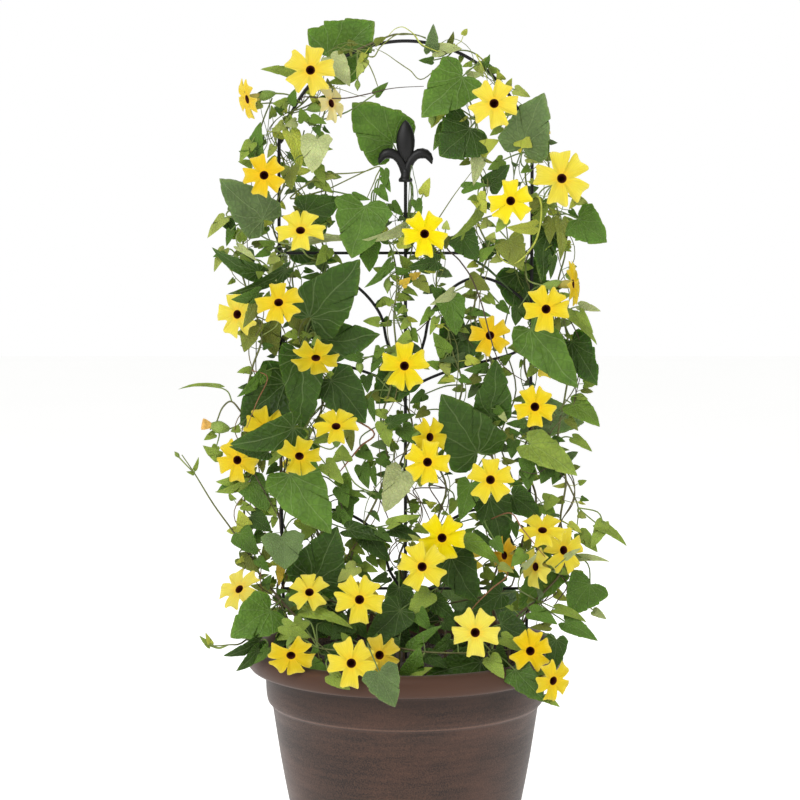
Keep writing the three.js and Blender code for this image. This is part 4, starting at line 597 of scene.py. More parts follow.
# Kinds of node that the materials use most
ATTRIBUTE = "ShaderNodeAttribute"
MATH = "ShaderNodeMath"
MIX = "ShaderNodeMix"
NOISE = "ShaderNodeTexNoise"
RANGE = "ShaderNodeMapRange"
VECTOR = "ShaderNodeVectorMath"


# ---------------------------------------------------------------- helpers
def linear(hex_colour):
    """An sRGB hex value as linear red, green, blue and 1."""
    shares = [int(hex_colour[i : i + 2], 16) / 255 for i in (0, 2, 4)]
    return [c / 12.92 if c <= 0.04045 else ((c + 0.055) / 1.055) ** 2.4 for c in shares] + [1.0]


def shade(colour, factor):
    """A colour, lighter or darker."""
    return [min(c * factor, 1.0) for c in colour[:3]] + [1.0]


def mixed(a, b, share):
    """A colour or number on the way from one to another."""
    return [x + (y - x) * share for x, y in zip(a, b)]


def feed(tree, node, inputs):
    """Gives each of these inputs of a node its value, or the link from another's socket."""
    for key, value in inputs.items():
        if isinstance(value, bpy.types.NodeSocket):
            tree.links.new(value, node.inputs[key])
        else:
            node.inputs[key].default_value = value


def add(tree, kind, inputs=None, **settings):
    """Adds one node with its settings and links, and gives its outputs."""
    node = tree.nodes.new(kind)
    for key, value in settings.items():
        setattr(node, key, value)
    feed(tree, node, inputs or {})
    return node.outputs


def nearer(depth):
    """How far along the line from EYE to the trellis this depth is, so how large it looks."""
    return (depth - EYE.y) / -EYE.y


def seen(x, z, depth):
    """The point at this depth that looks from EYE to be at x, z in the plane of the trellis."""
    return EYE.lerp(Vector((x, 0, z)), nearer(depth))


def pairs_round(count):
    """Each place on a ring with the next one."""
    return [(k, (k + 1) % count) for k in range(count)]


def circle(radius, z, count, squash=1):
    """Points round the upright axis, or the one point on it."""
    if not radius:
        return [Vector((0, 0, z))]
    turns = [TURN * k / count for k in range(count)]
    return [Vector((radius * math.cos(a), squash * radius * math.sin(a), z)) for a in turns]


def spline(points, steps):
    """A smooth curve through the points, with so many steps between two of them."""
    ends = [2 * points[0] - points[1], *points, 2 * points[-1] - points[-2]]
    smooth = []
    for a, b, c, d in zip(ends, ends[1:], ends[2:], ends[3:]):
        slope, bend, twist = c - a, 2 * a - 5 * b + 4 * c - d, 3 * b - a - 3 * c + d
        for t in (k / steps for k in range(steps)):
            smooth.append(0.5 * (2 * b + t * slope + t * t * bend + t**3 * twist))
    return smooth + [points[-1].copy()]


def length_of(line):
    """How long a polyline is."""
    return sum((b - a).length for a, b in zip(line, line[1:]))


def along_length(line, share):
    """The point and the direction at this share of a fine polyline's length."""
    reach = np.cumsum([0] + [(b - a).length for a, b in zip(line, line[1:])])
    k = min(int(np.searchsorted(reach, share * reach[-1], side="right")), len(line) - 1)
    k = max(k, 1)
    t = (share * reach[-1] - reach[k - 1]) / (reach[k] - reach[k - 1])
    return line[k - 1].lerp(line[k], t), (line[k] - line[k - 1]).normalized()


# ---------------------------------------------------------------- meshes and pieces
def skinned(name, rings):
    """A smooth mesh through rings of points, from the foot up; one point closes an end."""
    points, places, faces = [], [], []
    for ring in rings:
        places.append(range(len(points), len(points) + len(ring)))
        points += ring
    for low, high in zip(places, places[1:]):
        for k, n in pairs_round(max(len(low), len(high))):
            corners = [(low, k), (low, n), (high, n), (high, k)]
            faces.append(tuple(dict.fromkeys(ring[i % len(ring)] for ring, i in corners)))
    mesh = bpy.data.meshes.new(name)
    mesh.from_pydata([p * MM for p in points], [], faces)
    mesh.shade_smooth()
    return mesh


def tint_points(mesh, tints):
    """Gives each point of a mesh its colour."""
    tint = mesh.attributes.new("tint", "FLOAT_COLOR", "POINT")
    tint.data.foreach_set("color", np.array(tints, np.float32).ravel())


class Draft:
    """A mesh in the making: points in millimetres, each with a colour and a UV."""

    def __init__(self):
        self.points, self.faces, self.tints, self.uvs, self.edges = [], [], [], [], []

    def add(self, point, tint, uv=(0.0, 0.0)):
        """Adds one point and gives its number."""
        self.points.append(point)
        self.tints.append(tint)
        self.uvs.append(uv)
        return len(self.points) - 1

    def strip(self, ring_a, ring_b):
        """Quads between two closed rings of the same length."""
        for k, n in pairs_round(len(ring_a)):
            self.faces.append((ring_a[k], ring_a[n], ring_b[n], ring_b[k]))

    def mesh(self, name):
        """The finished mesh, smooth but for its sharp edges."""
        mesh = bpy.data.meshes.new(name)
        mesh.from_pydata([p * MM for p in self.points], [], self.faces)
        mesh.update()
        tint_points(mesh, self.tints)
        corners = np.zeros(len(mesh.loops), np.int64)
        mesh.loops.foreach_get("vertex_index", corners)
        layer = mesh.uv_layers.new(name="UVMap")
        layer.data.foreach_set("uv", np.array(self.uvs, np.float32)[corners].ravel())
        mesh.shade_smooth()
        sharp = {tuple(sorted(e)) for e in self.edges}
        for edge in mesh.edges:
            if tuple(sorted(edge.vertices)) in sharp:
                edge.use_edge_sharp = True
        return mesh


class Lines:
    """Polylines in millimetres, each point with a radius and a colour."""

    def __init__(self):
        self.points, self.edges, self.radii, self.tints = [], [], [], []

    def add(self, line, radii, tint, tip=None):
        """Adds a line; its radii are spread evenly over it, and its colour turns to tip's."""
        start = len(self.points)
        for i, point in enumerate(line):
            share = i / (len(line) - 1)
            place = share * (len(radii) - 1)
            k = min(int(place), len(radii) - 2)
            self.points.append(point)
            self.radii.append(radii[k] + (radii[k + 1] - radii[k]) * (place - k))
            self.tints.append(mixed(tint, tip or tint, share))
            if i:
                self.edges.append((start + i - 1, start + i))

    def mesh(self, name):
        """The lines as a mesh of edges, for the tree that gives them their girth."""
        mesh = bpy.data.meshes.new(name)
        mesh.from_pydata([p * MM for p in self.points], self.edges, [])
        radius = mesh.attributes.new("girth", "FLOAT", "POINT")
        radius.data.foreach_set("value", np.array(self.radii, np.float32) * MM)
        tint_points(mesh, self.tints)
        return mesh


def place_piece(name, mesh, material, slot, *nodes):
    """Makes the mesh a piece of the body, in place of these CAD nodes."""
    piece = bpy.data.objects.new(name, mesh)
    bpy.context.scene.collection.objects.link(piece)
    if not mesh.materials:
        mesh.materials.append(material)
    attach(piece, "root")
    if nodes:
        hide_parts(*nodes)


def mesh_of(shape, name):
    """Ends a bmesh as a mesh."""
    mesh = bpy.data.meshes.new(name)
    shape.to_mesh(mesh)
    shape.free()
    return mesh


def grown(name, mesh, tree, **values):
    """Runs a geometry tree over a mesh and gives the result as a plain mesh."""
    source = bpy.data.objects.new(name + "_source", mesh)
    bpy.context.scene.collection.objects.link(source)
    modifier = source.modifiers.new("grow", "NODES")
    modifier.node_group = tree
    sockets = {s.name: s.identifier for s in tree.interface.items_tree if s.in_out == "INPUT"}
    for key, value in values.items():
        modifier[sockets[key]] = value
    graph = bpy.context.evaluated_depsgraph_get()
    result = bpy.data.meshes.new_from_object(source.evaluated_get(graph))
    source.modifiers.clear()
    bpy.data.objects.remove(source)
    result.name = name
    return result


def new_tree(name, sockets):
    """A geometry tree with these named inputs, and its group input's sockets."""
    tree = bpy.data.node_groups.new(name, "GeometryNodeTree")
    face = tree.interface
    face.new_socket("Geometry", in_out="INPUT", socket_type="NodeSocketGeometry")
    for title, kind in sockets.items():
        face.new_socket(title, in_out="INPUT", socket_type="NodeSocket" + kind)
    face.new_socket("Geometry", in_out="OUTPUT", socket_type="NodeSocketGeometry")
    return tree, add(tree, "NodeGroupInput")


def ended_tree(tree, shape, finish):
    """Ends a geometry tree: real geometry, in its material."""
    shape = add(tree, "GeometryNodeRealizeInstances", {0: shape})[0]
    shape = add(tree, "GeometryNodeSetMaterial", {"Geometry": shape, "Material": finish})[0]
    add(tree, "NodeGroupOutput", {0: shape})
    return tree


def tube_tree():
    """Round wire or stem along every polyline, as thick as its points say."""
    tree, given = new_tree("round_wire", {"Sides": "Int", "Finish": "Material"})
    line = add(tree, "GeometryNodeMeshToCurve", {"Mesh": given["Geometry"]})[0]
    girth = add(tree, "GeometryNodeInputNamedAttribute", {"Name": "girth"}, data_type="FLOAT")[0]
    section = {"Resolution": given["Sides"], "Radius": 1.0}
    section = add(tree, "GeometryNodeCurvePrimitiveCircle", section)[0]
    sweep = {"Curve": line, "Profile Curve": section, "Scale": girth, "Fill Caps": True}
    tube = add(tree, "GeometryNodeCurveToMesh", sweep)[0]
    tube = add(tree, "GeometryNodeSetShadeSmooth", {0: tube, "Shade Smooth": True})[0]
    return ended_tree(tree, tube, given["Finish"])


def crumb_tree():
    """Loose crumbs of potting mix, strewn over a surface."""
    sockets = {"Crumbs": "Float", "Size": "Float", "Seed": "Int", "Finish": "Material"}
    tree, given = new_tree("strewn_crumbs", sockets)
    spots = {"Mesh": given["Geometry"], "Density": given["Crumbs"], "Seed": given["Seed"]}
    spots = add(tree, "GeometryNodeDistributePointsOnFaces", spots)["Points"]
    crumb = add(tree, "GeometryNodeMeshIcoSphere", {"Radius": 1.0, "Subdivisions": 1})[0]
    # a crumb is turned anyhow, and is mostly longer than it is wide or high
    spin = {0: (0, 0, 0), 1: (6.28, 6.28, 6.28), "Seed": given["Seed"]}
    spin = add(tree, "FunctionNodeRandomValue", spin, data_type="FLOAT_VECTOR")[0]
    size = {0: (0.35, 0.3, 0.2), 1: (1.5, 0.9, 0.7), "Seed": 5}
    size = add(tree, "FunctionNodeRandomValue", size, data_type="FLOAT_VECTOR")[0]
    size = add(tree, VECTOR, {0: size, "Scale": given["Size"]}, operation="SCALE")[0]
    crumbs = {"Points": spots, "Instance": crumb, "Rotation": spin, "Scale": size}
    strewn = add(tree, "GeometryNodeInstanceOnPoints", crumbs)[0]
    return ended_tree(tree, strewn, given["Finish"])


# ---------------------------------------------------------------- where the plant grows
class Growth:
    """The stems' lines, and the places that the leaves and blooms take on them."""

    def __init__(self):
        self.vines = [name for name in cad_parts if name.startswith("vine_")]
        corners = [v.co * 1000 for name in self.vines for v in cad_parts[name].data.vertices]
        self.tree = KDTree(len(corners))
        for i, point in enumerate(corners):
            self.tree.insert(point, i)
        self.tree.balance()
        self.lines, self.knots, self.shoots = {}, {}, []
        self.grow_stems()

    def twine(self, path, start):
        """A stem that winds round a wire, from this angle on."""
        fine = spline(path, 40)
        total = round(TWINE_STEPS * length_of(fine) / TWINE_PITCH)
        points = []
        for i in range(total + 1):
            at, along = along_length(fine, i / total)
            turn = math.radians(start) + i / TWINE_STEPS * TURN
            way = math.cos(turn) * FRONT + math.sin(turn) * along.cross(FRONT)
            points.append(at + TWINE_RADIUS * way)
        return points

    def grow_stems(self):
        """The twining and the free stems, with their feet in the soil, and their shoots."""

        def leg(side):
            """The wire of one leg and its side of the arch."""
            rise = [Vector((side * x, 0, z)) for x, z in TWINED_LEG]
            for turn in map(math.radians, range(0, 76, 15)):
                x = side * ARCH_RADIUS * math.cos(turn)
                rise.append(Vector((x, 0, ARCH_CENTRE + ARCH_RADIUS * math.sin(turn))))
            return rise

        stems = {
            "vine_left_leg": self.twine(leg(-1), 110),
            "vine_right_leg": self.twine(leg(1), 290),
            "vine_rod": self.twine([Vector((0, 0, z)) for z in TWINED_ROD], -14),
        }
        stems.update({name: [seen(*row) for row in rows] for name, rows in STEMS.items()})
        for name, points in stems.items():
            x, y, _ = points[0]
            foot = [Vector((x, y, z)) for z in (STEM_FOOT, SOIL_TOP + STEM_RISE)]
            self.lines[name] = foot + points
            self.knots[name] = points[:-1]
        for name, rows in SHOOTS:
            points = [seen(*row) for row in rows]
            way = [self.root(points[0], [name])[1], *points[1:]]
            self.shoots.append((name, way))
            self.knots[name] = self.knots[name] + way[1:-1]

    def root(self, point, names=None):
        """The stem, and the point on it, that a stalk grows from: the nearest one."""
        places = ((name, at) for name in names or self.knots for at in self.knots[name])
        return min(places, key=lambda found: (found[1] - point).length)

    def slide(self, corners):
        """The slide of depth at which the CAD nodes have all of these corners, else none."""
        for slide in SLIDES:
            if all(self.tree.find(p)[2] < SAME_POINT for p in corners(slide)):
                return slide
        return 0


def leaf_frame(base, tip, roll):
    """Along a leaf's midrib, across it and out of its upper face, and its length."""
    along = (tip - base).normalized()
    out = (EYE - base).normalized()
    out = (out - along * out.dot(along)).normalized()
    out = Quaternion(along, math.radians(roll)) @ out
    return along, out.cross(along), out, (tip - base).length


def facing(right, up):
    """The way a bloom faces, turned to the right and up from the front."""
    yaw, pitch = math.radians(right), math.radians(up)
    level = math.cos(pitch)
    return Vector((math.sin(yaw) * level, -math.cos(yaw) * level, math.sin(pitch)))


def petal_directions(face, angles):
    """Petal directions in the bloom's face, each at its angle in the front view."""
    if len(angles) == PETALS and abs(face.y) > 0.5:
        ways = []
        for angle in angles:
            c, s = math.cos(math.radians(angle)), math.sin(math.radians(angle))
            ways.append(Vector((c, -(c * face.x + s * face.z) / face.y, s)).normalized())
        return ways
    right = -face.cross(Vector((0, 0, 1))).normalized()
    up = -face.cross(right)
    turns = [math.radians(angles[0] + 360 / PETALS * i) for i in range(PETALS)]
    return [right * math.cos(a) + up * math.sin(a) for a in turns]


# ---------------------------------------------------------------- leaves
def leaf_outline(half, fine, rng):
    """The outline of a blade, each tooth a little off its place: along and across."""
    jitter = [rng.uniform(-1, 1) for _ in range(4 * len(half))]
    bow = rng.uniform(-0.03, 0.03)
    wave = rng.uniform(0, 6)
    sides = []
    for side in (0, 1):
        rim = [(1.0, 0.0)]
        for k, (a, b) in enumerate(half):
            wide = 1 + 0.05 * jitter[2 * k + side]
            rim.append((a + 0.012 * jitter[2 * k + 1 - side], b * wide))
        rim.append((0.0, 0.0))
        smooth = []
        for (a0, b0), (a1, b1) in zip(rim, rim[1:]):
            for t in (k / fine for k in range(fine)):
                # each stretch between two teeth bulges a little
                swell = 0.05 * math.hypot(a1 - a0, b1 - b0) * math.sin(math.pi * t)
                smooth.append((a0 + (a1 - a0) * t + swell * 0.6, b0 + (b1 - b0) * t + swell))
        sides.append(smooth)
    back = [(a, -b) for a, b in sides[1][:0:-1]]
    return [*sides[0], (0.0, 0.0), *back], bow, wave


def leaf_blade(draft, base, tip, roll, width, tone, rng, thickness):
    """One blade, closed, with its veins' UV: across and along, in leaf lengths."""
    along, across, out, length = leaf_frame(base, tip, roll)
    half = LARGE_HALF if width >= TOOTHED_WIDTH else SMALL_HALF
    fine, rings = next(detail for least, *detail in LEAF_DETAIL if width >= least)
    outline, bow, wave = leaf_outline(half, fine, rng)

    def surface(a, b):
        """The middle of the blade: folded along its midrib, arched and wavy."""
        fold = FOLD * (math.hypot(b, MIDRIB) - MIDRIB) * (1 - 0.3 * max(a, 0))
        rise = fold * width + CAMBER * length * 4 * a * (1 - a)
        rise += 0.02 * width * math.sin(9 * a + wave) * (2 * abs(b)) ** 2
        rise -= TIP_DROOP * length * max(a - 0.7, 0) ** 2
        sway = (b + bow * 4 * a * (1 - a)) * width
        return base + along * (a * length) + across * sway + out * rise

    lower_tint = mixed(shade(tone, 1.25), linear("8fae62"), 0.4)
    skins = []
    for lift, tint in ((1, tone), (-1, lower_tint)):
        thick = out * (lift * thickness / 2)
        hub = draft.add(surface(LEAF_HUB, 0.0) + thick, tint, (0.0, LEAF_HUB))
        levels = []
        for ring in range(1, rings + 1):
            s = (ring / rings) ** 0.85
            if ring == rings and lift < 0:  # both skins meet at the rim
                levels.append(skins[0][1][-1])
                continue
            thin = thick * (1 - s**3)
            places = [(LEAF_HUB + (a - LEAF_HUB) * s, b * s) for a, b in outline]
            levels.append(
                [draft.add(surface(a, b) + thin, tint, (b * width / length, a)) for a, b in places]
            )
        skins.append((hub, levels))
    for order, (hub, levels) in zip((1, -1), skins):
        for k, n in pairs_round(len(outline)):
            draft.faces.append((hub, levels[0][n], levels[0][k])[::order])
            for inner, outer in zip(levels, levels[1:]):
                draft.faces.append((inner[k], inner[n], outer[n], outer[k])[::order])
    rim = skins[0][1][-1]
    draft.edges.extend((rim[k], rim[n]) for k, n in pairs_round(len(rim)))


# ---------------------------------------------------------------- blooms
def corolla_rim(face, directions, radius, rng):
    """A corolla's edge: each point's place on the face, its lift and its share across."""

    def around(a, b):
        """The turn from one direction to another in the bloom's face."""
        return math.atan2(a.cross(b).dot(face), a.dot(b))

    first = directions[0]
    order = sorted(directions, key=lambda d: (around(first, d) + TURN + 1e-6) % TURN)
    turns = [around(d, order[(i + 1) % PETALS]) % TURN for i, d in enumerate(order)]
    # neighbours meet at a notch, which lies deeper where the turn between them is wide
    least, most = NOTCH_LIMITS
    notches = [NOTCH * (EVEN_TURN / turn) ** 0.8 + rng.uniform(-0.07, 0.06) for turn in turns]
    notches = [min(max(notch, least), most) for notch in notches]
    rim = []
    for i, d in enumerate(order):
        across = face.cross(d)
        wobble = [rng.uniform(-1, 1) for _ in range(9)]
        stretch = 1 + 0.03 * wobble[0]
        lift = 0.03 * wobble[1]
        edges = []
        for side, gap in ((-1, i - 1), (1, i)):
            bend = min(turns[gap] / 2, 1.1)
            start = notches[gap] * math.cos(bend)
            wide = 1 + 0.08 * wobble[4 + side]
            edge = []
            for share, w, h in PETAL_SIDE:
                r = start + (PETAL_REACH - start) * share
                edge.append((r, side * min(w * wide, 0.96 * r * math.tan(bend)), h))
            limit = edge[-1][1] / PETAL_SIDE[-1][1]
            edges.append(edge + [(r, w * limit, h) for r, w, h in PETAL_END])
        for k, (r, w, h) in enumerate([*edges[0], (0.9, 0.0, 0.07), *edges[1][::-1]]):
            ripple = 0.012 * math.sin(5 * k + 3 * wobble[2]) + 0.025 * wobble[4 + k % 5] * (r > 0.9)
            place = d * ((r + ripple) * stretch) + across * w
            rim.append((place * radius, (h + lift * r) * radius, w / 0.4))
        between = Quaternion(face, turns[i] / 2) @ d
        rim.append((between * (notches[i] * radius), 0.07 * radius, 1.2))
    return rim


def corolla(draft, centre, face, directions, radius, colour, eye, rng):
    """One corolla, closed: five petals round a dark throat that goes down into a tube."""
    rim = corolla_rim(face, directions, radius, rng)
    throat = 3.1 + 0.06 * radius
    deep = mixed(colour, linear("eeb400"), 0.4)
    pale = linear("fff08c")
    back = mixed(colour, linear("dcc868"), 0.5)
    tube, calyx = linear("b8ad58"), linear("5a2a3a")

    def petal_ring(share, tint, drop=0.0):
        """A ring at this share of the way from the throat to the rim, lower by drop."""
        made = []
        for place, height, across in rim:
            start = place.normalized() * throat
            reach = start.lerp(place, share)
            fold = 0.07 * radius * math.sin(math.pi * share**1.3) * (across**2 - 0.5)
            rise = 0.6 + (height - 0.6) * share + fold - drop
            uv = (across * 0.5 + 0.5, reach.length / radius)
            made.append(draft.add(centre + reach + face * rise, tint, uv))
        return made

    def tube_ring(r, lift, tint):
        """A round ring, as far above the bloom's centre as lift says."""
        return [
            draft.add(centre + place.normalized() * r + face * lift, tint, (w * 0.5 + 0.5, 0.0))
            for place, _, w in rim
        ]

    # rings down the throat; the one 4.5 mm deep is painted a fifth darker, as painted shade inside
    # the tube
    inside = [
        (1.2, -8, 1), (2.5, -4.5, 0.8), (3.1, -1.2, 1), (3.6, 0.2, 1), (throat - 0.35, 0.5, 1),
    ]
    levels = [tube_ring(r, lift, shade(eye, dark)) for r, lift, dark in inside]
    upper = [
        (0.0, deep), (0.14, mixed(deep, colour, 0.35)), (0.25, mixed(deep, colour, 0.7)),
        (0.42, colour), (0.65, colour), (0.85, mixed(colour, pale, 0.07)),
        (1.0, mixed(colour, pale, 0.15)),
    ]
    levels += [petal_ring(share, tint) for share, tint in upper]
    outer = levels[-1]
    lower = [(0.8, 0.3), (0.45, 0.45), (0.1, 0.6)]
    levels += [petal_ring(share, back, drop) for share, drop in lower]
    outside = [
        (3.7, -1.8, 0), (4.0, -5.5, 0), (3.8, -9.0, 0), (2.9, -12.6, 0.4), (2.3, -TUBE_LENGTH, 0.5),
    ]
    levels += [tube_ring(r, lift, mixed(tube, calyx, dark)) for r, lift, dark in outside]
    for a, b in zip(levels, levels[1:]):
        draft.strip(a, b)
    pit = draft.add(centre - face * PIT_DEPTH, eye)
    foot = draft.add(centre - face * TUBE_LENGTH, tube)
    for k, n in pairs_round(len(rim)):
        draft.faces.append((pit, levels[0][n], levels[0][k]))
        draft.faces.append((foot, levels[-1][k], levels[-1][n]))
        draft.edges.append((outer[k], outer[n]))


def bracts(draft, centre, face, tone, rng, closed=False, size=1.0):
    """The two leafy bracts that clasp a bloom's tube, or that hide a bud."""
    length = (BRACT_LENGTH + (4 if closed else 8)) * size
    foot = centre - face * (0 if closed else TUBE_LENGTH + 0.3 + BRACT_LENGTH)
    side = Quaternion(face, rng.uniform(0, 6.28)) @ face.cross(Vector((0.3, 0.2, 1))).normalized()

    def grid(front, skin, tint):
        """One face of a bract: rows of points, from its foot to its tip."""
        rows = []
        for u in (i / BRACT_STEPS for i in range(BRACT_STEPS + 1)):
            reach = BRACT_REACH * math.sin(math.pi * min(u * 0.72 + 0.08, 0.8)) ** 0.8
            span = BRACT_SPAN[0] * math.sin(math.pi * min(0.12 + u, 1) ** 0.8) ** 0.6
            if closed:
                reach *= 1 - 0.93 * max(u - 0.45, 0) / 0.55
                span = BRACT_SPAN[1]
            row = []
            for v in (2 * j / BRACT_COLUMNS - 1 for j in range(BRACT_COLUMNS + 1)):
                keel = 0.7 * (1 - abs(v)) ** 2 * (1 - 0.8 * u * closed)
                out = Quaternion(face, v * math.radians(span)) @ front
                near = max(reach + keel - skin, 0.15) * size
                row.append(draft.add(foot + face * (u * length) + out * near, tint, (v * 0.3, u)))
            rows.append(row)
        return rows

    for front in (side, Quaternion(face, math.pi) @ side):
        skins = [grid(front, 0, tone), grid(front, BRACT_SKIN, shade(tone, 1.15))]
        rims = []
        for order, rows in zip((1, -1), skins):
            for low, high in zip(rows, rows[1:]):
                for a, b, c, d in zip(low, low[1:], high[1:], high):
                    draft.faces.append((a, b, c, d)[::order])
            right = [row[-1] for row in rows[1:]]
            left = [row[0] for row in rows[-2:0:-1]]
            rims.append(rows[0] + right + rows[-1][-2::-1] + left)
        outer, inner = rims
        for k, n in pairs_round(len(outer)):
            draft.faces.append((outer[n], outer[k], inner[k], inner[n]))
            draft.edges.append((outer[k], outer[n]))


# ---------------------------------------------------------------- materials
def new_finish(name):
    """A new material, its tree, and where each of its points lies, in metres."""
    material = bpy.data.materials.new(name)
    material.use_nodes = True
    tree = material.node_tree
    return material, tree, add(tree, "ShaderNodeTexCoord")["Object"]


def coat(tree, height, strength, distance, inputs):
    """Gives the shader its relief, so many metres high, and its other inputs."""
    relief = {"Strength": strength, "Distance": distance, "Height": height}
    normal = add(tree, "ShaderNodeBump", relief)[0]
    feed(tree, tree.nodes["Principled BSDF"], {"Normal": normal, **inputs})


def leaf_material():
    """Living leaf: a waxy skin, lighter veins that sink into it, and a fine net between."""
    material, tree, solid = new_finish("living_leaf")
    tint = add(tree, ATTRIBUTE, attribute_name="tint")["Color"]
    # the veins are drawn in leaf lengths from the stalk, and stray by a few hundredths
    place = add(tree, "ShaderNodeUVMap", uv_map="UVMap")[0]
    stray = {"Vector": solid, "Scale": 60.0, "Detail": 0.0}
    stray = {0: add(tree, NOISE, stray)["Color"], 1: (0.1, 0.1, 0.0), 2: place}
    place = add(tree, VECTOR, stray, operation="MULTIPLY_ADD")[0]
    place = add(tree, VECTOR, {0: place, 1: (-0.05, -0.05, 0.0)})[0]
    x, y, _ = add(tree, "ShaderNodeSeparateXYZ", {0: place})
    away = add(tree, MATH, {0: x}, operation="ABSOLUTE")[0]
    reach = add(tree, VECTOR, {0: place}, operation="LENGTH")["Value"]
    angle = add(tree, MATH, {0: away, 1: y}, operation="ARCTAN2")[0]
    # the main veins fan out from the stalk, about 30 degrees apart
    fan = add(tree, MATH, {0: angle, 1: 0.27}, operation="PINGPONG")[0]
    fan = add(tree, MATH, {0: fan, 1: reach}, operation="MULTIPLY")[0]
    # side veins leave the midrib every sixth of the length
    rise = add(tree, MATH, {0: away, 1: -0.8, 2: y}, operation="MULTIPLY_ADD")[0]
    rung = add(tree, MATH, {0: rise, 1: 0.085}, operation="PINGPONG")[0]
    veins = []
    for off, middle, edge, depth in ((fan, 0.002, 0.013, 1.0), (rung, 0.001, 0.008, 0.45)):
        veins.append(add(tree, RANGE, {0: off, 1: middle, 2: edge, 3: depth, 4: 0.0})[0])
    vein = add(tree, MATH, {0: veins[0], 1: veins[1]}, operation="MAXIMUM")[0]
    # the net of small veins has cells of 4 mm on a 50 mm leaf, which swell between the veins
    net = {"Vector": place, "Scale": 11.0}
    flat = {"feature": "DISTANCE_TO_EDGE", "voronoi_dimensions": "2D"}
    net = add(tree, "ShaderNodeTexVoronoi", net, **flat)[0]
    blotch = add(tree, NOISE, {"Vector": solid, "Scale": 70.0, "Detail": 3.0})[0]
    bright = add(tree, RANGE, {0: blotch, 1: 0.3, 2: 0.7, 3: 0.82, 4: 1.2})[0]
    # the colour is darker on the net's fine veins and lighter on the cells between: the veins' own
    # darker green, with painted shade in their grooves and painted light on the swelling cells
    deep = add(tree, RANGE, {0: net, 1: 0.0, 2: 0.2, 3: 0.92, 4: 1.1})[0]
    bright = add(tree, MATH, {0: bright, 1: deep}, operation="MULTIPLY")[0]
    base = add(tree, VECTOR, {0: tint, "Scale": bright}, operation="SCALE")[0]
    pale = add(tree, MATH, {0: vein, 1: 0.15}, operation="MULTIPLY")[0]
    base = add(tree, MIX, {0: pale, 6: base, 7: linear("b4c98c")}, data_type="RGBA")[2]
    hollow = add(tree, MATH, {0: vein, 1: -1.0, 2: 1.0}, operation="MULTIPLY_ADD")[0]
    height = add(tree, MATH, {0: net, 1: 2.2, 2: hollow}, operation="MULTIPLY_ADD")[0]
    rough = add(tree, RANGE, {0: blotch, 1: 0.2, 2: 0.8, 3: 0.42, 4: 0.6})[0]
    coat(tree, height, 0.6, 0.0008, {
        "Base Color": base, "Roughness": rough, "Specular IOR Level": 0.24,
        "Subsurface Weight": 0.12, "Subsurface Radius": (0.3, 0.6, 0.1), "Subsurface Scale": 0.002,
    })
    return material


def petal_material():
    """Living petal: matt velvet, with fine lines that run out from the throat."""
    material, tree, _ = new_finish("velvet_petal")
    tint = add(tree, ATTRIBUTE, attribute_name="tint")["Color"]
    place = add(tree, "ShaderNodeUVMap", uv_map="UVMap")[0]
    # the lines are 26 to a petal, and much longer than wide
    place = add(tree, "ShaderNodeMapping", {"Vector": place, "Scale": (26.0, 1.6, 1.0)})[0]
    lines = add(tree, NOISE, {"Vector": place, "Scale": 1.0, "Detail": 3.0})[0]
    bright = add(tree, RANGE, {0: lines, 1: 0.3, 2: 0.7, 3: 0.86, 4: 1.06})[0]
    base = add(tree, VECTOR, {0: tint, "Scale": bright}, operation="SCALE")[0]
    coat(tree, lines, 0.35, 0.0004, {
        "Base Color": base, "Roughness": 0.62, "Specular IOR Level": 0.12,
        "Subsurface Weight": 0.25, "Subsurface Radius": (1.0, 0.8, 0.1), "Subsurface Scale": 0.002,
    })
    return material


def stem_material():
    """Green and woody stem: a dull skin, blotched every 4 mm or so."""
    material, tree, solid = new_finish("twining_stem")
    tint = add(tree, ATTRIBUTE, attribute_name="tint")["Color"]
    blotch = add(tree, NOISE, {"Vector": solid, "Scale": 220.0, "Detail": 2.0})[0]
    bright = add(tree, RANGE, {0: blotch, 1: 0.3, 2: 0.7, 3: 0.75, 4: 1.25})[0]
    base = add(tree, VECTOR, {0: tint, "Scale": bright}, operation="SCALE")[0]
    coat(tree, blotch, 0.4, 0.0003, {"Base Color": base, "Roughness": 0.6})
    return material


def iron_material(colour):
    """Powder-coated steel wire: black, with an orange peel of 1 mm and rubbed places."""
    material, tree, solid = new_finish("black_powder_coat")
    grain = add(tree, NOISE, {"Vector": solid, "Scale": 900.0, "Detail": 2.0})[0]
    worn = add(tree, NOISE, {"Vector": solid, "Scale": 60.0, "Detail": 4.0})[0]
    rough = add(tree, RANGE, {0: worn, 1: 0.3, 2: 0.7, 3: 0.38, 4: 0.52})[0]
    tone = add(tree, MIX, {0: worn, 6: colour, 7: shade(colour, 1.8)}, data_type="RGBA")[2]
    finish = {"Base Color": tone, "Roughness": rough, "Specular IOR Level": 0.35}
    coat(tree, grain, 0.25, 0.0002, finish)
    return material


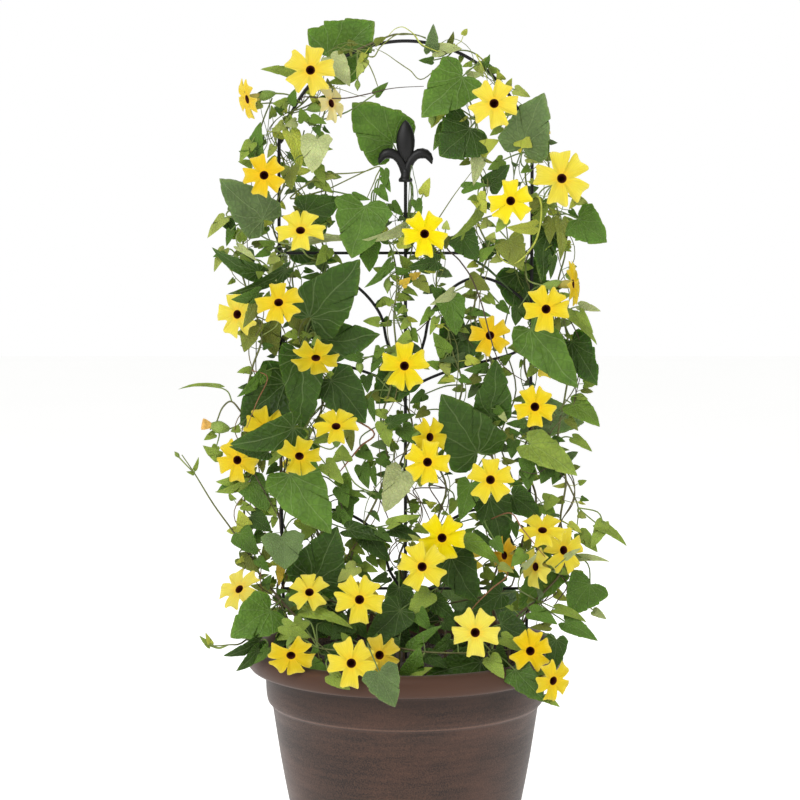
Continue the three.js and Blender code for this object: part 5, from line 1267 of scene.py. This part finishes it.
def pot_material(base_colour, bronze_colour):
    """Moulded resin with a brushed bronze lacquer: broken strokes that run round the pot."""
    material, tree, solid = new_finish("brushed_bronze_resin")
    # strokes of 45 by 3.5 mm, clouds of 77 by 33 mm and specks of 1.2 mm
    strokes = add(tree, "ShaderNodeMapping", {"Vector": solid, "Scale": (22.0, 22.0, 280.0)})[0]
    strokes = {"Vector": strokes, "Scale": 1.0, "Detail": 4.0, "Roughness": 0.6}
    strokes = add(tree, NOISE, strokes)[0]
    clouds = add(tree, "ShaderNodeMapping", {"Vector": solid, "Scale": (13.0, 13.0, 30.0)})[0]
    clouds = add(tree, NOISE, {"Vector": clouds, "Scale": 1.0, "Detail": 3.0})[0]
    fine = add(tree, NOISE, {"Vector": solid, "Scale": 800.0, "Detail": 1.0})[0]
    level = add(tree, MATH, {0: strokes, 1: 0.75}, operation="MULTIPLY")[0]
    for pattern, weight in ((clouds, 0.6), (fine, 1.2)):
        level = add(tree, MATH, {0: pattern, 1: weight, 2: level}, operation="MULTIPLY_ADD")[0]
    height = add(tree, "ShaderNodeSeparateXYZ", {0: solid})[2]
    wear = add(tree, ATTRIBUTE, attribute_name="wear")["Fac"]
    ranges = [
        (level, 1.0, 1.7, 0.8),  # the strokes
        (clouds, 0.45, 0.75, 0.3),  # redder patches
        (height, 0.19, 0.216, 0.6),  # painted shade under the lip's overhang, darkest just below it
        (height, 0.2175, 0.2195, 0.7),  # the redder lip
        (wear, 0.5, 1.0, 1.7),  # worn edges, which are speckled
    ]
    shares = []
    for source, low, high, most in ranges:
        shares.append(add(tree, RANGE, {0: source, 1: low, 2: high, 3: 0.0, 4: most})[0])
    shares[-1] = add(tree, MATH, {0: shares[-1], 1: fine}, operation="MULTIPLY")[0]
    tone = base_colour
    # the second colour, near black, is the painted shade under the lip; the others are the
    # lacquer's own colours
    lacquers_and_painted_shade = [linear(colour) for colour in ("5e3d31", "2b201b", "523322", "745444")]
    for share, colour in zip(shares, [bronze_colour, *lacquers_and_painted_shade]):
        tone = add(tree, MIX, {0: share, 6: tone, 7: colour}, data_type="RGBA")[2]
    speck = shares[0]
    metal = add(tree, RANGE, {0: speck, 1: 0.0, 2: 1.0, 3: 0.1, 4: 0.4})[0]
    rough = add(tree, RANGE, {0: speck, 1: 0.0, 2: 1.0, 3: 0.6, 4: 0.42})[0]
    coat(tree, level, 0.25, 0.0003, {
        "Base Color": tone, "Metallic": metal, "Roughness": rough, "Specular IOR Level": 0.35,
        "Sheen Weight": 0.12, "Sheen Roughness": 0.5,
    })
    return material


def soil_material(colour):
    """Damp potting mix: near black peat with brown fibres, in crumbs of 4 mm."""
    material, tree, solid = new_finish("damp_potting_mix")
    grains = add(tree, NOISE, {"Vector": solid, "Scale": 260.0, "Detail": 4.0})[0]
    dark, fibre = shade(colour, 0.5), linear("4a3a2c")
    tone = add(tree, MIX, {0: grains, 6: dark, 7: fibre}, data_type="RGBA")[2]
    coat(tree, grains, 0.8, 0.001, {"Base Color": tone, "Roughness": 0.9})
    return material


def backdrop_material(colour):
    """Matt painted board, with a faint mottle."""
    material, tree, solid = new_finish("matt_white_board")
    mottle = add(tree, NOISE, {"Vector": solid, "Scale": 3.0})[0]
    tone = add(tree, MIX, {0: mottle, 6: colour, 7: shade(colour, 0.97)}, data_type="RGBA")[2]
    # light comes up through the board, as through a light table
    feed(tree, tree.nodes["Principled BSDF"], {
        "Base Color": tone, "Roughness": 0.9, "Emission Color": (1, 1, 1, 1),
        "Emission Strength": 0.5,
    })
    return material


# ---------------------------------------------------------------- settings
def colour_property(title, text, hex_colour):
    """A colour that a user may change."""
    return FloatVectorProperty(
        name=title, description=text, default=linear(hex_colour)[:3], min=0, max=1, size=3,
        subtype="COLOR",
    )


def length_property(title, text, default, least, most):
    """A length in metres that a user may change."""
    return FloatProperty(
        name=title, description=text, default=default, min=least, max=most, unit="LENGTH"
    )


class PotSettings(bpy.types.PropertyGroup):
    """The sizes and colours of the pot and its soil"""

    resin: colour_property("Resin", "Colour of the pot under its lacquer", "2a1e1a")
    bronze: colour_property("Bronze", "Colour of the brushed strokes", "5f4436")
    soil: colour_property("Soil", "Colour of the potting mix", "2a2420")
    crumb: length_property("Crumb size", "Mean size of a crumb of soil", 0.0022, 0.0005, 0.006)
    crumbs: IntProperty(
        name="Crumbs", description="Crumbs of soil per square metre", default=60000, min=0
    )


class TrellisSettings(bpy.types.PropertyGroup):
    """The sizes and the colour of the wires"""

    coat: colour_property("Coat", "Colour of the powder coat", "0d0c0d")
    wire: length_property(
        "Wire radius", "Half the thickness of the arch and the rod", 0.0016, 0.0005, 0.004
    )
    scroll: length_property(
        "Scroll radius", "Half the thickness of the bars and scrolls", 0.0014, 0.0005, 0.004
    )


class PlantSettings(bpy.types.PropertyGroup):
    """The sizes and colours of the plant"""

    stem: length_property(
        "Stem radius", "Half the thickness of a twining stem", 0.001, 0.0004, 0.003
    )
    stalk: length_property(
        "Stalk radius", "Half the thickness of a leaf's stalk", 0.0007, 0.0003, 0.002
    )
    blade: length_property(
        "Blade thickness", "Thickness of a leaf beside its midrib", 0.0006, 0.0002, 0.002
    )
    step: length_property(
        "Young leaf step", "Distance between two pairs of young leaves", 0.022, 0.01, 0.1
    )
    eye: colour_property("Eye", "Colour of a bloom's throat", "3f130c")
    petal: FloatProperty(
        name="Petal brightness", description="How bright the petals are",
        default=0.84, min=0.1, max=1.5, subtype="FACTOR",
    )
    variety: FloatProperty(
        name="Colour variety", description="How much the leaves differ in brightness",
        default=0.14, min=0, max=0.6, subtype="FACTOR",
    )


class StageSettings(bpy.types.PropertyGroup):
    """The floor and the lamps"""

    board: colour_property("Board", "Colour of the floor", "f6f6f4")
    softness: length_property(
        "Lamp size", "Width of the main lamp; a wide one gives soft shadows", 1.6, 0.1, 4
    )
    power: FloatProperty(
        name="Lamp power", description="Power of the main lamp", default=34, min=0, unit="POWER"
    )


# ---------------------------------------------------------------- operators
class VINE_OT_pot(bpy.types.Operator):
    """Turn the pot on its profile and lacquer it"""

    bl_idname = "vine.pot"
    bl_label = "Pot"

    def execute(self, context):
        settings = context.scene.vine_pot
        rings = [circle(r, z, POT_FACETS) for r, z, _ in POT_PROFILE]
        mesh = skinned("pot_shell", rings)
        wear = [worn for ring, (_, _, worn) in zip(rings, POT_PROFILE) for _ in ring]
        mesh.attributes.new("wear", "FLOAT", "POINT").data.foreach_set("value", wear)
        material = pot_material([*settings.resin, 1], [*settings.bronze, 1])
        place_piece("pot_shell", mesh, material, "pot", "pot")
        return {"FINISHED"}


class VINE_OT_soil(bpy.types.Operator):
    """Fill the pot with soil and strew crumbs over it"""

    bl_idname = "vine.soil"
    bl_label = "Soil"

    def execute(self, context):
        settings = context.scene.vine_pot
        material = soil_material([*settings.soil, 1])
        radius, height = SOIL_EDGE[-1]
        rings = [circle(r, z, SOIL_FACETS) for r, z in SOIL_EDGE]
        rings += self.surface(radius, height)
        place_piece("soil_fill", skinned("soil_fill", rings), material, "soil", "soil")
        disc = bmesh.new()
        reach = (radius - CRUMB_MARGIN) * MM
        bmesh.ops.create_circle(disc, cap_ends=True, radius=reach, segments=48)
        lift = Vector((0, 0, height + CRUMB_LIFT)) * MM
        bmesh.ops.translate(disc, verts=disc.verts, vec=lift)
        crumbs = grown(
            "soil_crumbs", mesh_of(disc, "soil_surface"), crumb_tree(),
            Crumbs=float(settings.crumbs), Size=settings.crumb, Seed=CRUMB_SEED, Finish=material,
        )
        place_piece("soil_crumbs", crumbs, material, "soil")
        return {"FINISHED"}

    def surface(self, radius, height):
        """Rings of the lumpy top, from its edge to its middle."""
        rng = random.Random(SOIL_SEED)
        rings = []
        for share in (1 - i / SOIL_LEVELS for i in range(1, SOIL_LEVELS)):
            ring = circle(radius * share, height + SOIL_CROWN * (1 - share**2), SOIL_FACETS)
            for k, point in enumerate(ring):
                a = TURN * k / SOIL_FACETS
                lump = SOIL_LUMP * math.sin(7 * a + 9 * share) * math.cos(11 * share + 2 * a)
                point.z += (lump + rng.uniform(-SOIL_GRAIN, SOIL_GRAIN)) * 0.8
                point.z = min(point.z, height + SOIL_CROWN + 1)
            rings.append(ring)
        return rings + [circle(0, height + SOIL_CROWN, 1)]


class VINE_OT_trellis(bpy.types.Operator):
    """Bend the trellis wires and cast the finial"""

    bl_idname = "vine.trellis"
    bl_label = "Trellis"

    def execute(self, context):
        settings = context.scene.vine_trellis
        material = iron_material([*settings.coat, 1])
        thick, thin = settings.wire / MM, settings.scroll / MM
        arch = [(-x, z) for x, z in LEG_REACH]
        for angle in (math.pi * (1 - i / ARCH_STEPS) for i in range(ARCH_STEPS + 1)):
            height = ARCH_CENTRE + ARCH_RADIUS * math.sin(angle)
            arch.append((ARCH_RADIUS * math.cos(angle), height))
        arch += LEG_REACH[::-1]
        lines = [(arch, 8, thick), ([(0, z) for z in ROD], 1, thick)]
        lines += [([(-BAR_REACH, z), (BAR_REACH, z)], 1, thin) for z in CROSSBARS]
        for side in (-1, 1):
            for scroll in (UPPER_SCROLL, LOWER_SCROLL, LOWER_ARCH):
                lines.append(([(side * x, z) for x, z in scroll], 6, thin))
        wires = Lines()
        for line, steps, radius in lines:
            wires.add(spline([Vector((x, 0, z)) for x, z in line], steps), [radius] * 2, BLACK)
        lines = wires.mesh("wires")
        mesh = grown("trellis_wires", lines, tube_tree(), Sides=WIRE_SIDES, Finish=material)
        place_piece("trellis_wires", mesh, material, "iron", "trellis_frame")
        place_piece("finial_casting", self.finial(), material, "iron", "finial")
        return {"FINISHED"}

    def finial(self):
        """A cast fleur-de-lis: a pointed leaf between two round arms that curl down."""
        draft = Draft()
        bodies = [
            [circle(r, z, 24, LEAF_DEPTH) for r, z in FINIAL_LEAF],
            [circle(r, z, 24) for r, z in FINIAL_COLLAR],
        ]
        deep = Vector((0, 1, 0))
        for side in (-1, 1):
            line = [Vector((side * x, 0, z)) for x, z, _ in FINIAL_ARM]
            rings = []
            for before, at, after, (_, _, radius) in zip(
                [line[0], *line], line, [*line[1:], line[-1]], FINIAL_ARM
            ):
                cross = (after - before).normalized().cross(deep)
                ring = [ARM_DEPTH * x * deep + y * cross for x, y, _ in circle(radius, 0, 16)]
                rings.append([at + out for out in ring])
            bodies.append(rings)
        for rings in bodies:
            rows = [[draft.add(point, BLACK) for point in ring] for ring in rings]
            for low, high in zip(rows, rows[1:]):
                draft.strip(low, high)
            draft.faces += [rows[0][::-1], rows[-1]]
        mesh = draft.mesh("finial_casting")
        shape = bmesh.new()
        shape.from_mesh(mesh)
        bmesh.ops.recalc_face_normals(shape, faces=shape.faces)
        shape.to_mesh(mesh)
        shape.free()
        return mesh


class VINE_OT_plant(bpy.types.Operator):
    """Grow the stems, the leaves and the blooms"""

    bl_idname = "vine.plant"
    bl_label = "Plant"

    def execute(self, context):
        self.settings = context.scene.vine_plant
        self.growth = Growth()
        vines = self.growth.vines
        self.blades = {name: Draft() for name in vines}
        self.stalks = {name: Lines() for name in vines}
        self.discs = []
        self.grow_blooms()
        self.grow_stems()
        self.grow_buds()
        self.grow_leaves()
        leaf, stem, tree = leaf_material(), stem_material(), tube_tree()
        for name in vines:
            lines = self.stalks[name].mesh(name + "_lines")
            mesh = grown(name + "_stems", lines, tree, Sides=STEM_SIDES, Finish=stem)
            place_piece(name + "_stems", mesh, stem, "leaf", name)
            draft = self.blades[name]
            if draft.points:
                place_piece(name + "_leaves", draft.mesh(name + "_leaves"), leaf, "leaf", name)
        return {"FINISHED"}

    def grow_stems(self):
        """The main stems, their side stems and shoots, and the tendrils."""
        radius = self.settings.stem / MM
        wood, young = linear("54402c"), linear("6c7a3a")
        for name, points in self.growth.lines.items():
            radii = [radius * 1.15, radius, 0.7 * radius]
            self.stalks[name].add(spline(points, 5), radii, wood, young)
        self.grow_side_stems(young)
        for name, way in self.growth.shoots:
            self.stalks[name].add(spline(way, 5), [0.95, 0.8, 0.5], linear("5a5230"), young)
        for name, rows, thick, tone in TENDRILS:
            points = [seen(*row) for row in rows]
            way = [self.growth.root(points[0], [name])[1], *points]
            radii = [thick, thick, 0.5 * thick]
            self.stalks[name].add(spline(way, 6), radii, linear(TONES_AND_PAINTED_LIGHT[tone]))

    def grow_side_stems(self, young):
        """Thin side stems that wander along the main ones, and pairs of young leaves on both."""
        barks = [linear(colour) for colour in BARKS]
        for number, (name, points) in enumerate(self.growth.lines.items()):
            rng = random.Random(SIDE_STEM_SEED + number)
            fine = spline(points[2:], 6)
            length = length_of(fine)
            for _ in range(SIDE_STEMS):
                sway, start, pitch = rng.uniform(4, 11), rng.uniform(0, 6.28), rng.uniform(70, 130)
                line = []
                for i in range(round(length / SIDE_STEP) + 1):
                    at, along = along_length(fine, min(i * SIDE_STEP / length, 1))
                    out = along.cross(FRONT).normalized()
                    phase = start + TURN * i * SIDE_STEP / pitch
                    side = out * math.sin(phase) + 0.6 * FRONT * math.cos(phase)
                    line.append(at + min(i / 6, 1) * sway * side)
                thick = rng.uniform(0.4, 0.6)
                bark = barks[rng.randrange(len(barks))]
                self.stalks[name].add(spline(line, 2), [thick, thick, 0.3], bark, young)
                self.grow_pairs(name, line, rng)

    def grow_pairs(self, name, line, rng):
        """Pairs of young leaves along a side stem, each on a short stalk."""
        step = self.settings.step / MM
        place = step * rng.uniform(0.5, 1.5)
        length = length_of(line)
        while place < length - 5:
            at, along = along_length(line, place / length)
            turn = rng.uniform(-0.6, 0.6)
            for side in (-1, 1):
                if rng.random() < 0.3:  # this one has dropped
                    continue
                out = along.cross(FRONT).normalized() * side
                out = out * math.cos(turn) + FRONT * math.sin(turn)
                way = (out + along * rng.uniform(-0.3, 0.9)).normalized()
                foot = at + way * rng.uniform(3, 9)
                size = rng.uniform(7, 15)
                droop = Vector((0, 0, -rng.uniform(0, 0.9)))
                tip = foot + (way + droop).normalized() * size
                if self.hides_a_bloom((foot + tip) / 2):
                    continue
                tone = linear(TONES_AND_PAINTED_LIGHT[rng.choice(YOUNG_TONES)])
                wide = size * rng.uniform(0.6, 0.85)
                roll = rng.uniform(-50, 50)
                colour = shade(tone, rng.uniform(0.8, 1.15))
                leaf_blade(self.blades[name], foot, tip, roll, wide, colour, rng, 0.4)
                self.stalks[name].add([at, at.lerp(foot, 0.5), foot], [0.35, 0.35], tone)
            place += step * rng.uniform(0.6, 1.4)

    def hides_a_bloom(self, point):
        """Whether this point lies on or just in front of an open bloom."""
        for centre, face, radius in self.discs:
            away = point - centre
            for way in (face, (EYE - centre).normalized()):
                height = away.dot(way)
                if -6 < height < 50 and (away - way * height).length < 0.75 * radius + 3:
                    return True
        return False

    def grow_blooms(self):
        """The open blooms, each a piece, with the bracts and the stalk that carry it."""
        petal = petal_material()
        eye = [*self.settings.eye, 1]
        for number, (name, row) in enumerate(BLOOMS.items()):
            x, z, diameter, depth, right, up, angles, hex_colour = row
            rng = random.Random(BLOOM_SEED + number)
            face = facing(right, up)
            stem, at = self.growth.root(seen(x, z, depth) - face * BLOOM_STALK)
            directions = petal_directions(face, angles)
            node = "bloom_" + name
            best = min(SLIDES, key=lambda slide: self.misfit(node, directions[0], face, row, slide))
            centre = seen(x, z, depth + best)
            radius = diameter / 2 * nearer(depth + best)
            self.discs.append((centre, face, radius))
            draft = Draft()
            colour = shade(linear(hex_colour), self.settings.petal)
            corolla(draft, centre, face, directions, radius, colour, eye, rng)
            place_piece("corolla_" + name, draft.mesh("corolla_" + name), petal, "petal", node)
            tone = mixed(linear("8fa850"), linear("6f8a3a"), rng.random())
            bracts(self.blades[stem], centre, face, tone, rng)
            end = centre - face * (TUBE_LENGTH + BRACT_LENGTH)
            far = end - face * (0.3 * (end - at).length)
            line = spline([at, far.lerp(at, 0.3), end], 6)
            self.stalks[stem].add(line, [0.6, 0.65, 0.9], linear("7c8a45"))

    def misfit(self, node, way, face, row, slide):
        """How far a petal's middle would be from the CAD bloom's nearest point."""
        x, z, diameter, depth = row[:4]
        centre = seen(x, z, depth + slide)
        radius = diameter / 2 * nearer(depth + slide)
        at = centre + way * (0.6 * radius) + face * (0.06 * radius + 0.45)
        return min((v.co * 1000 - at).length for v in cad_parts[node].data.vertices)

    def grow_buds(self):
        """The closed buds on their stalks, and the one that opens."""
        for number, (x, z, depth, right, up, size) in enumerate(BUDS):
            face = facing(right, up)
            rng = random.Random(BUD_SEED + number)
            centre = seen(x, z, depth)
            name, at = self.growth.root(centre - face * BUD_STALK * size)
            foot = centre - face * BRACT_LENGTH * size
            bracts(self.blades[name], foot, face, linear("8fa650"), rng, closed=True, size=size)
            far = (centre - face * 18 * size).lerp(at, 0.4)
            self.stalks[name].add(spline([at, far, foot], 5), [0.6, 0.7, 0.8], linear("7f8c48"))
            if number == OPENING_BUD:
                roll = [foot + face * reach for reach, _ in ROLLED_PETALS]
                self.stalks[name].add(roll, [r for _, r in ROLLED_PETALS], linear("e8b45a"))

    def grow_leaf(self, rng, place, roll, width, tone, solid):
        """One leaf on its stalk; place gives its base and tip at a slide of depth."""
        start, end = place(0)
        back = (end - start).normalized() * (LEAF_STALK if solid else SMALL_LEAF_STALK)
        name, at = self.growth.root(start - back)

        def corners(slide):
            """The tip and the two widest corners of the CAD blade."""
            start, end = place(slide)
            wide = width * nearer(start.y)
            _, across, out, _ = leaf_frame(start, end, roll)
            share = CORNER_SHARES[0 if wide >= LARGE_WIDTH else 1]
            side = across * (share * wide)
            rise = out * (FOLD * share * wide)
            return [end, start + side + rise, start - side + rise]

        start, end = place(self.growth.slide(corners) if solid else 0)
        wide = width * nearer(start.y)
        colour = shade(linear(TONES_AND_PAINTED_LIGHT[tone]), 1 + rng.uniform(-1, 1) * self.settings.variety)
        thick = self.settings.blade / MM
        leaf_blade(self.blades[name], start, end, roll, wide, colour, rng, thick)
        back = (end - start).normalized() * (0.35 * (start - at).length)
        radius = self.settings.stalk / MM
        green = mixed(linear("6d8040"), colour, 0.3)
        line = spline([at, (start - back).lerp(at, 0.35), start], 4)
        self.stalks[name].add(line, [radius, radius, radius * 0.9], green)

    def grow_leaves(self):
        """The leaves of the table, and those that hang behind them and face the back."""
        for i, row in enumerate(LEAVES):
            x0, z0, x1, z1, depth, dip, roll, width, tone = SPREAD.get(i, row)

            def place(slide):
                return seen(x0, z0, depth + slide), seen(x1, z1, depth + slide + dip)

            solid = width >= SOLID_WIDTH and i not in SPREAD
            rng = random.Random(LEAF_SEED + i)
            self.grow_leaf(rng, place, roll, width, tone, solid)
        large = [row for row in LEAVES if row[7] >= BACKED_WIDTH and row[1] > BACKED_HEIGHT]
        for i in range(0, len(large), 2):
            x0, z0, x1, z1, _, _, _, width, tone = large[i]
            depth = BACK_DEPTH + 7 * (i % 3)

            def place(slide):
                base = seen(x0, z0, depth - slide)
                return base, base.lerp(seen(x1, z1, depth + 10 - slide), 0.9)

            rng = random.Random(BACK_LEAF_SEED + i)
            self.grow_leaf(rng, place, 180, 0.9 * width, tone, True)


class VINE_OT_stage(bpy.types.Operator):
    """Set up the floor, the soft studio light and the camera"""

    bl_idname = "vine.stage"
    bl_label = "Stage"

    def execute(self, context):
        settings = context.scene.vine_stage
        scene = context.scene
        shape = bmesh.new()
        bmesh.ops.create_grid(shape, x_segments=1, y_segments=1, size=FLOOR_REACH)
        floor = bpy.data.objects.new("studio_floor", mesh_of(shape, "studio_floor"))
        floor.data.materials.append(backdrop_material([*settings.board, 1]))
        scene.collection.objects.link(floor)
        world = bpy.data.worlds.new("studio")
        world.use_nodes = True
        # the room looks white, and lights the plant a little less than that
        tree = world.node_tree
        direct = add(tree, "ShaderNodeLightPath")["Is Camera Ray"]
        bright = add(tree, RANGE, {0: direct, 3: ROOM_LIGHT, 4: 1.0})[0]
        feed(tree, tree.nodes["Background"], {"Color": (1, 1, 1, 1), "Strength": bright})
        scene.world = world
        for name, (place, size, share) in LAMPS.items():
            light = bpy.data.lights.new(name, "AREA")
            light.size = size or settings.softness
            light.energy = share * settings.power
            self.aim(scene, light, place, LAMP_AIM)
        lens = bpy.data.cameras.new("front_camera")
        lens.lens = LENS
        lens.sensor_width = SENSOR
        scene.camera = self.aim(scene, lens, CAMERA_PLACE, CAMERA_AIM)
        scene.view_settings.view_transform = "Standard"
        return {"FINISHED"}

    def aim(self, scene, data, place, at):
        """Puts a lamp or camera at this place, turned to look at that point."""
        thing = bpy.data.objects.new(data.name, data)
        thing.location = place
        look = Vector(at) - Vector(place)
        thing.rotation_euler = look.to_track_quat("-Z", "Y").to_euler()
        scene.collection.objects.link(thing)
        return thing


class VINE_PT_panel(bpy.types.Panel):
    """Lists the steps and their sizes and colours"""

    bl_idname = "VINE_PT_panel"
    bl_label = "Potted vine"
    bl_space_type = "VIEW_3D"
    bl_region_type = "UI"
    bl_category = "Vine"

    def draw(self, context):
        for group, steps in GROUPS.items():
            box = self.layout.box()
            settings = getattr(context.scene, group)
            for name in settings.__annotations__:
                box.prop(settings, name)
            for step in steps:
                box.operator(step.bl_idname)


GROUPS = {
    "vine_pot": [VINE_OT_pot, VINE_OT_soil],
    "vine_trellis": [VINE_OT_trellis],
    "vine_plant": [VINE_OT_plant],
    "vine_stage": [VINE_OT_stage],
}
SETTINGS = [PotSettings, TrellisSettings, PlantSettings, StageSettings]
STEPS = [step for steps in GROUPS.values() for step in steps]


def register():
    """Makes the classes and the settings known."""
    for kind in [*SETTINGS, *STEPS, VINE_PT_panel]:
        bpy.utils.register_class(kind)
    for group, settings in zip(GROUPS, SETTINGS):
        setattr(bpy.types.Scene, group, PointerProperty(type=settings))


def unregister():
    """Takes them back."""
    for group in GROUPS:
        delattr(bpy.types.Scene, group)
    for kind in [VINE_PT_panel, *STEPS[::-1], *SETTINGS[::-1]]:
        bpy.utils.unregister_class(kind)


def main():
    """Builds every piece and the stage."""
    register()
    bpy.ops.vine.pot()
    bpy.ops.vine.soil()
    bpy.ops.vine.trellis()
    bpy.ops.vine.plant()
    bpy.ops.vine.stage()


if __name__ == "__main__":
    main()
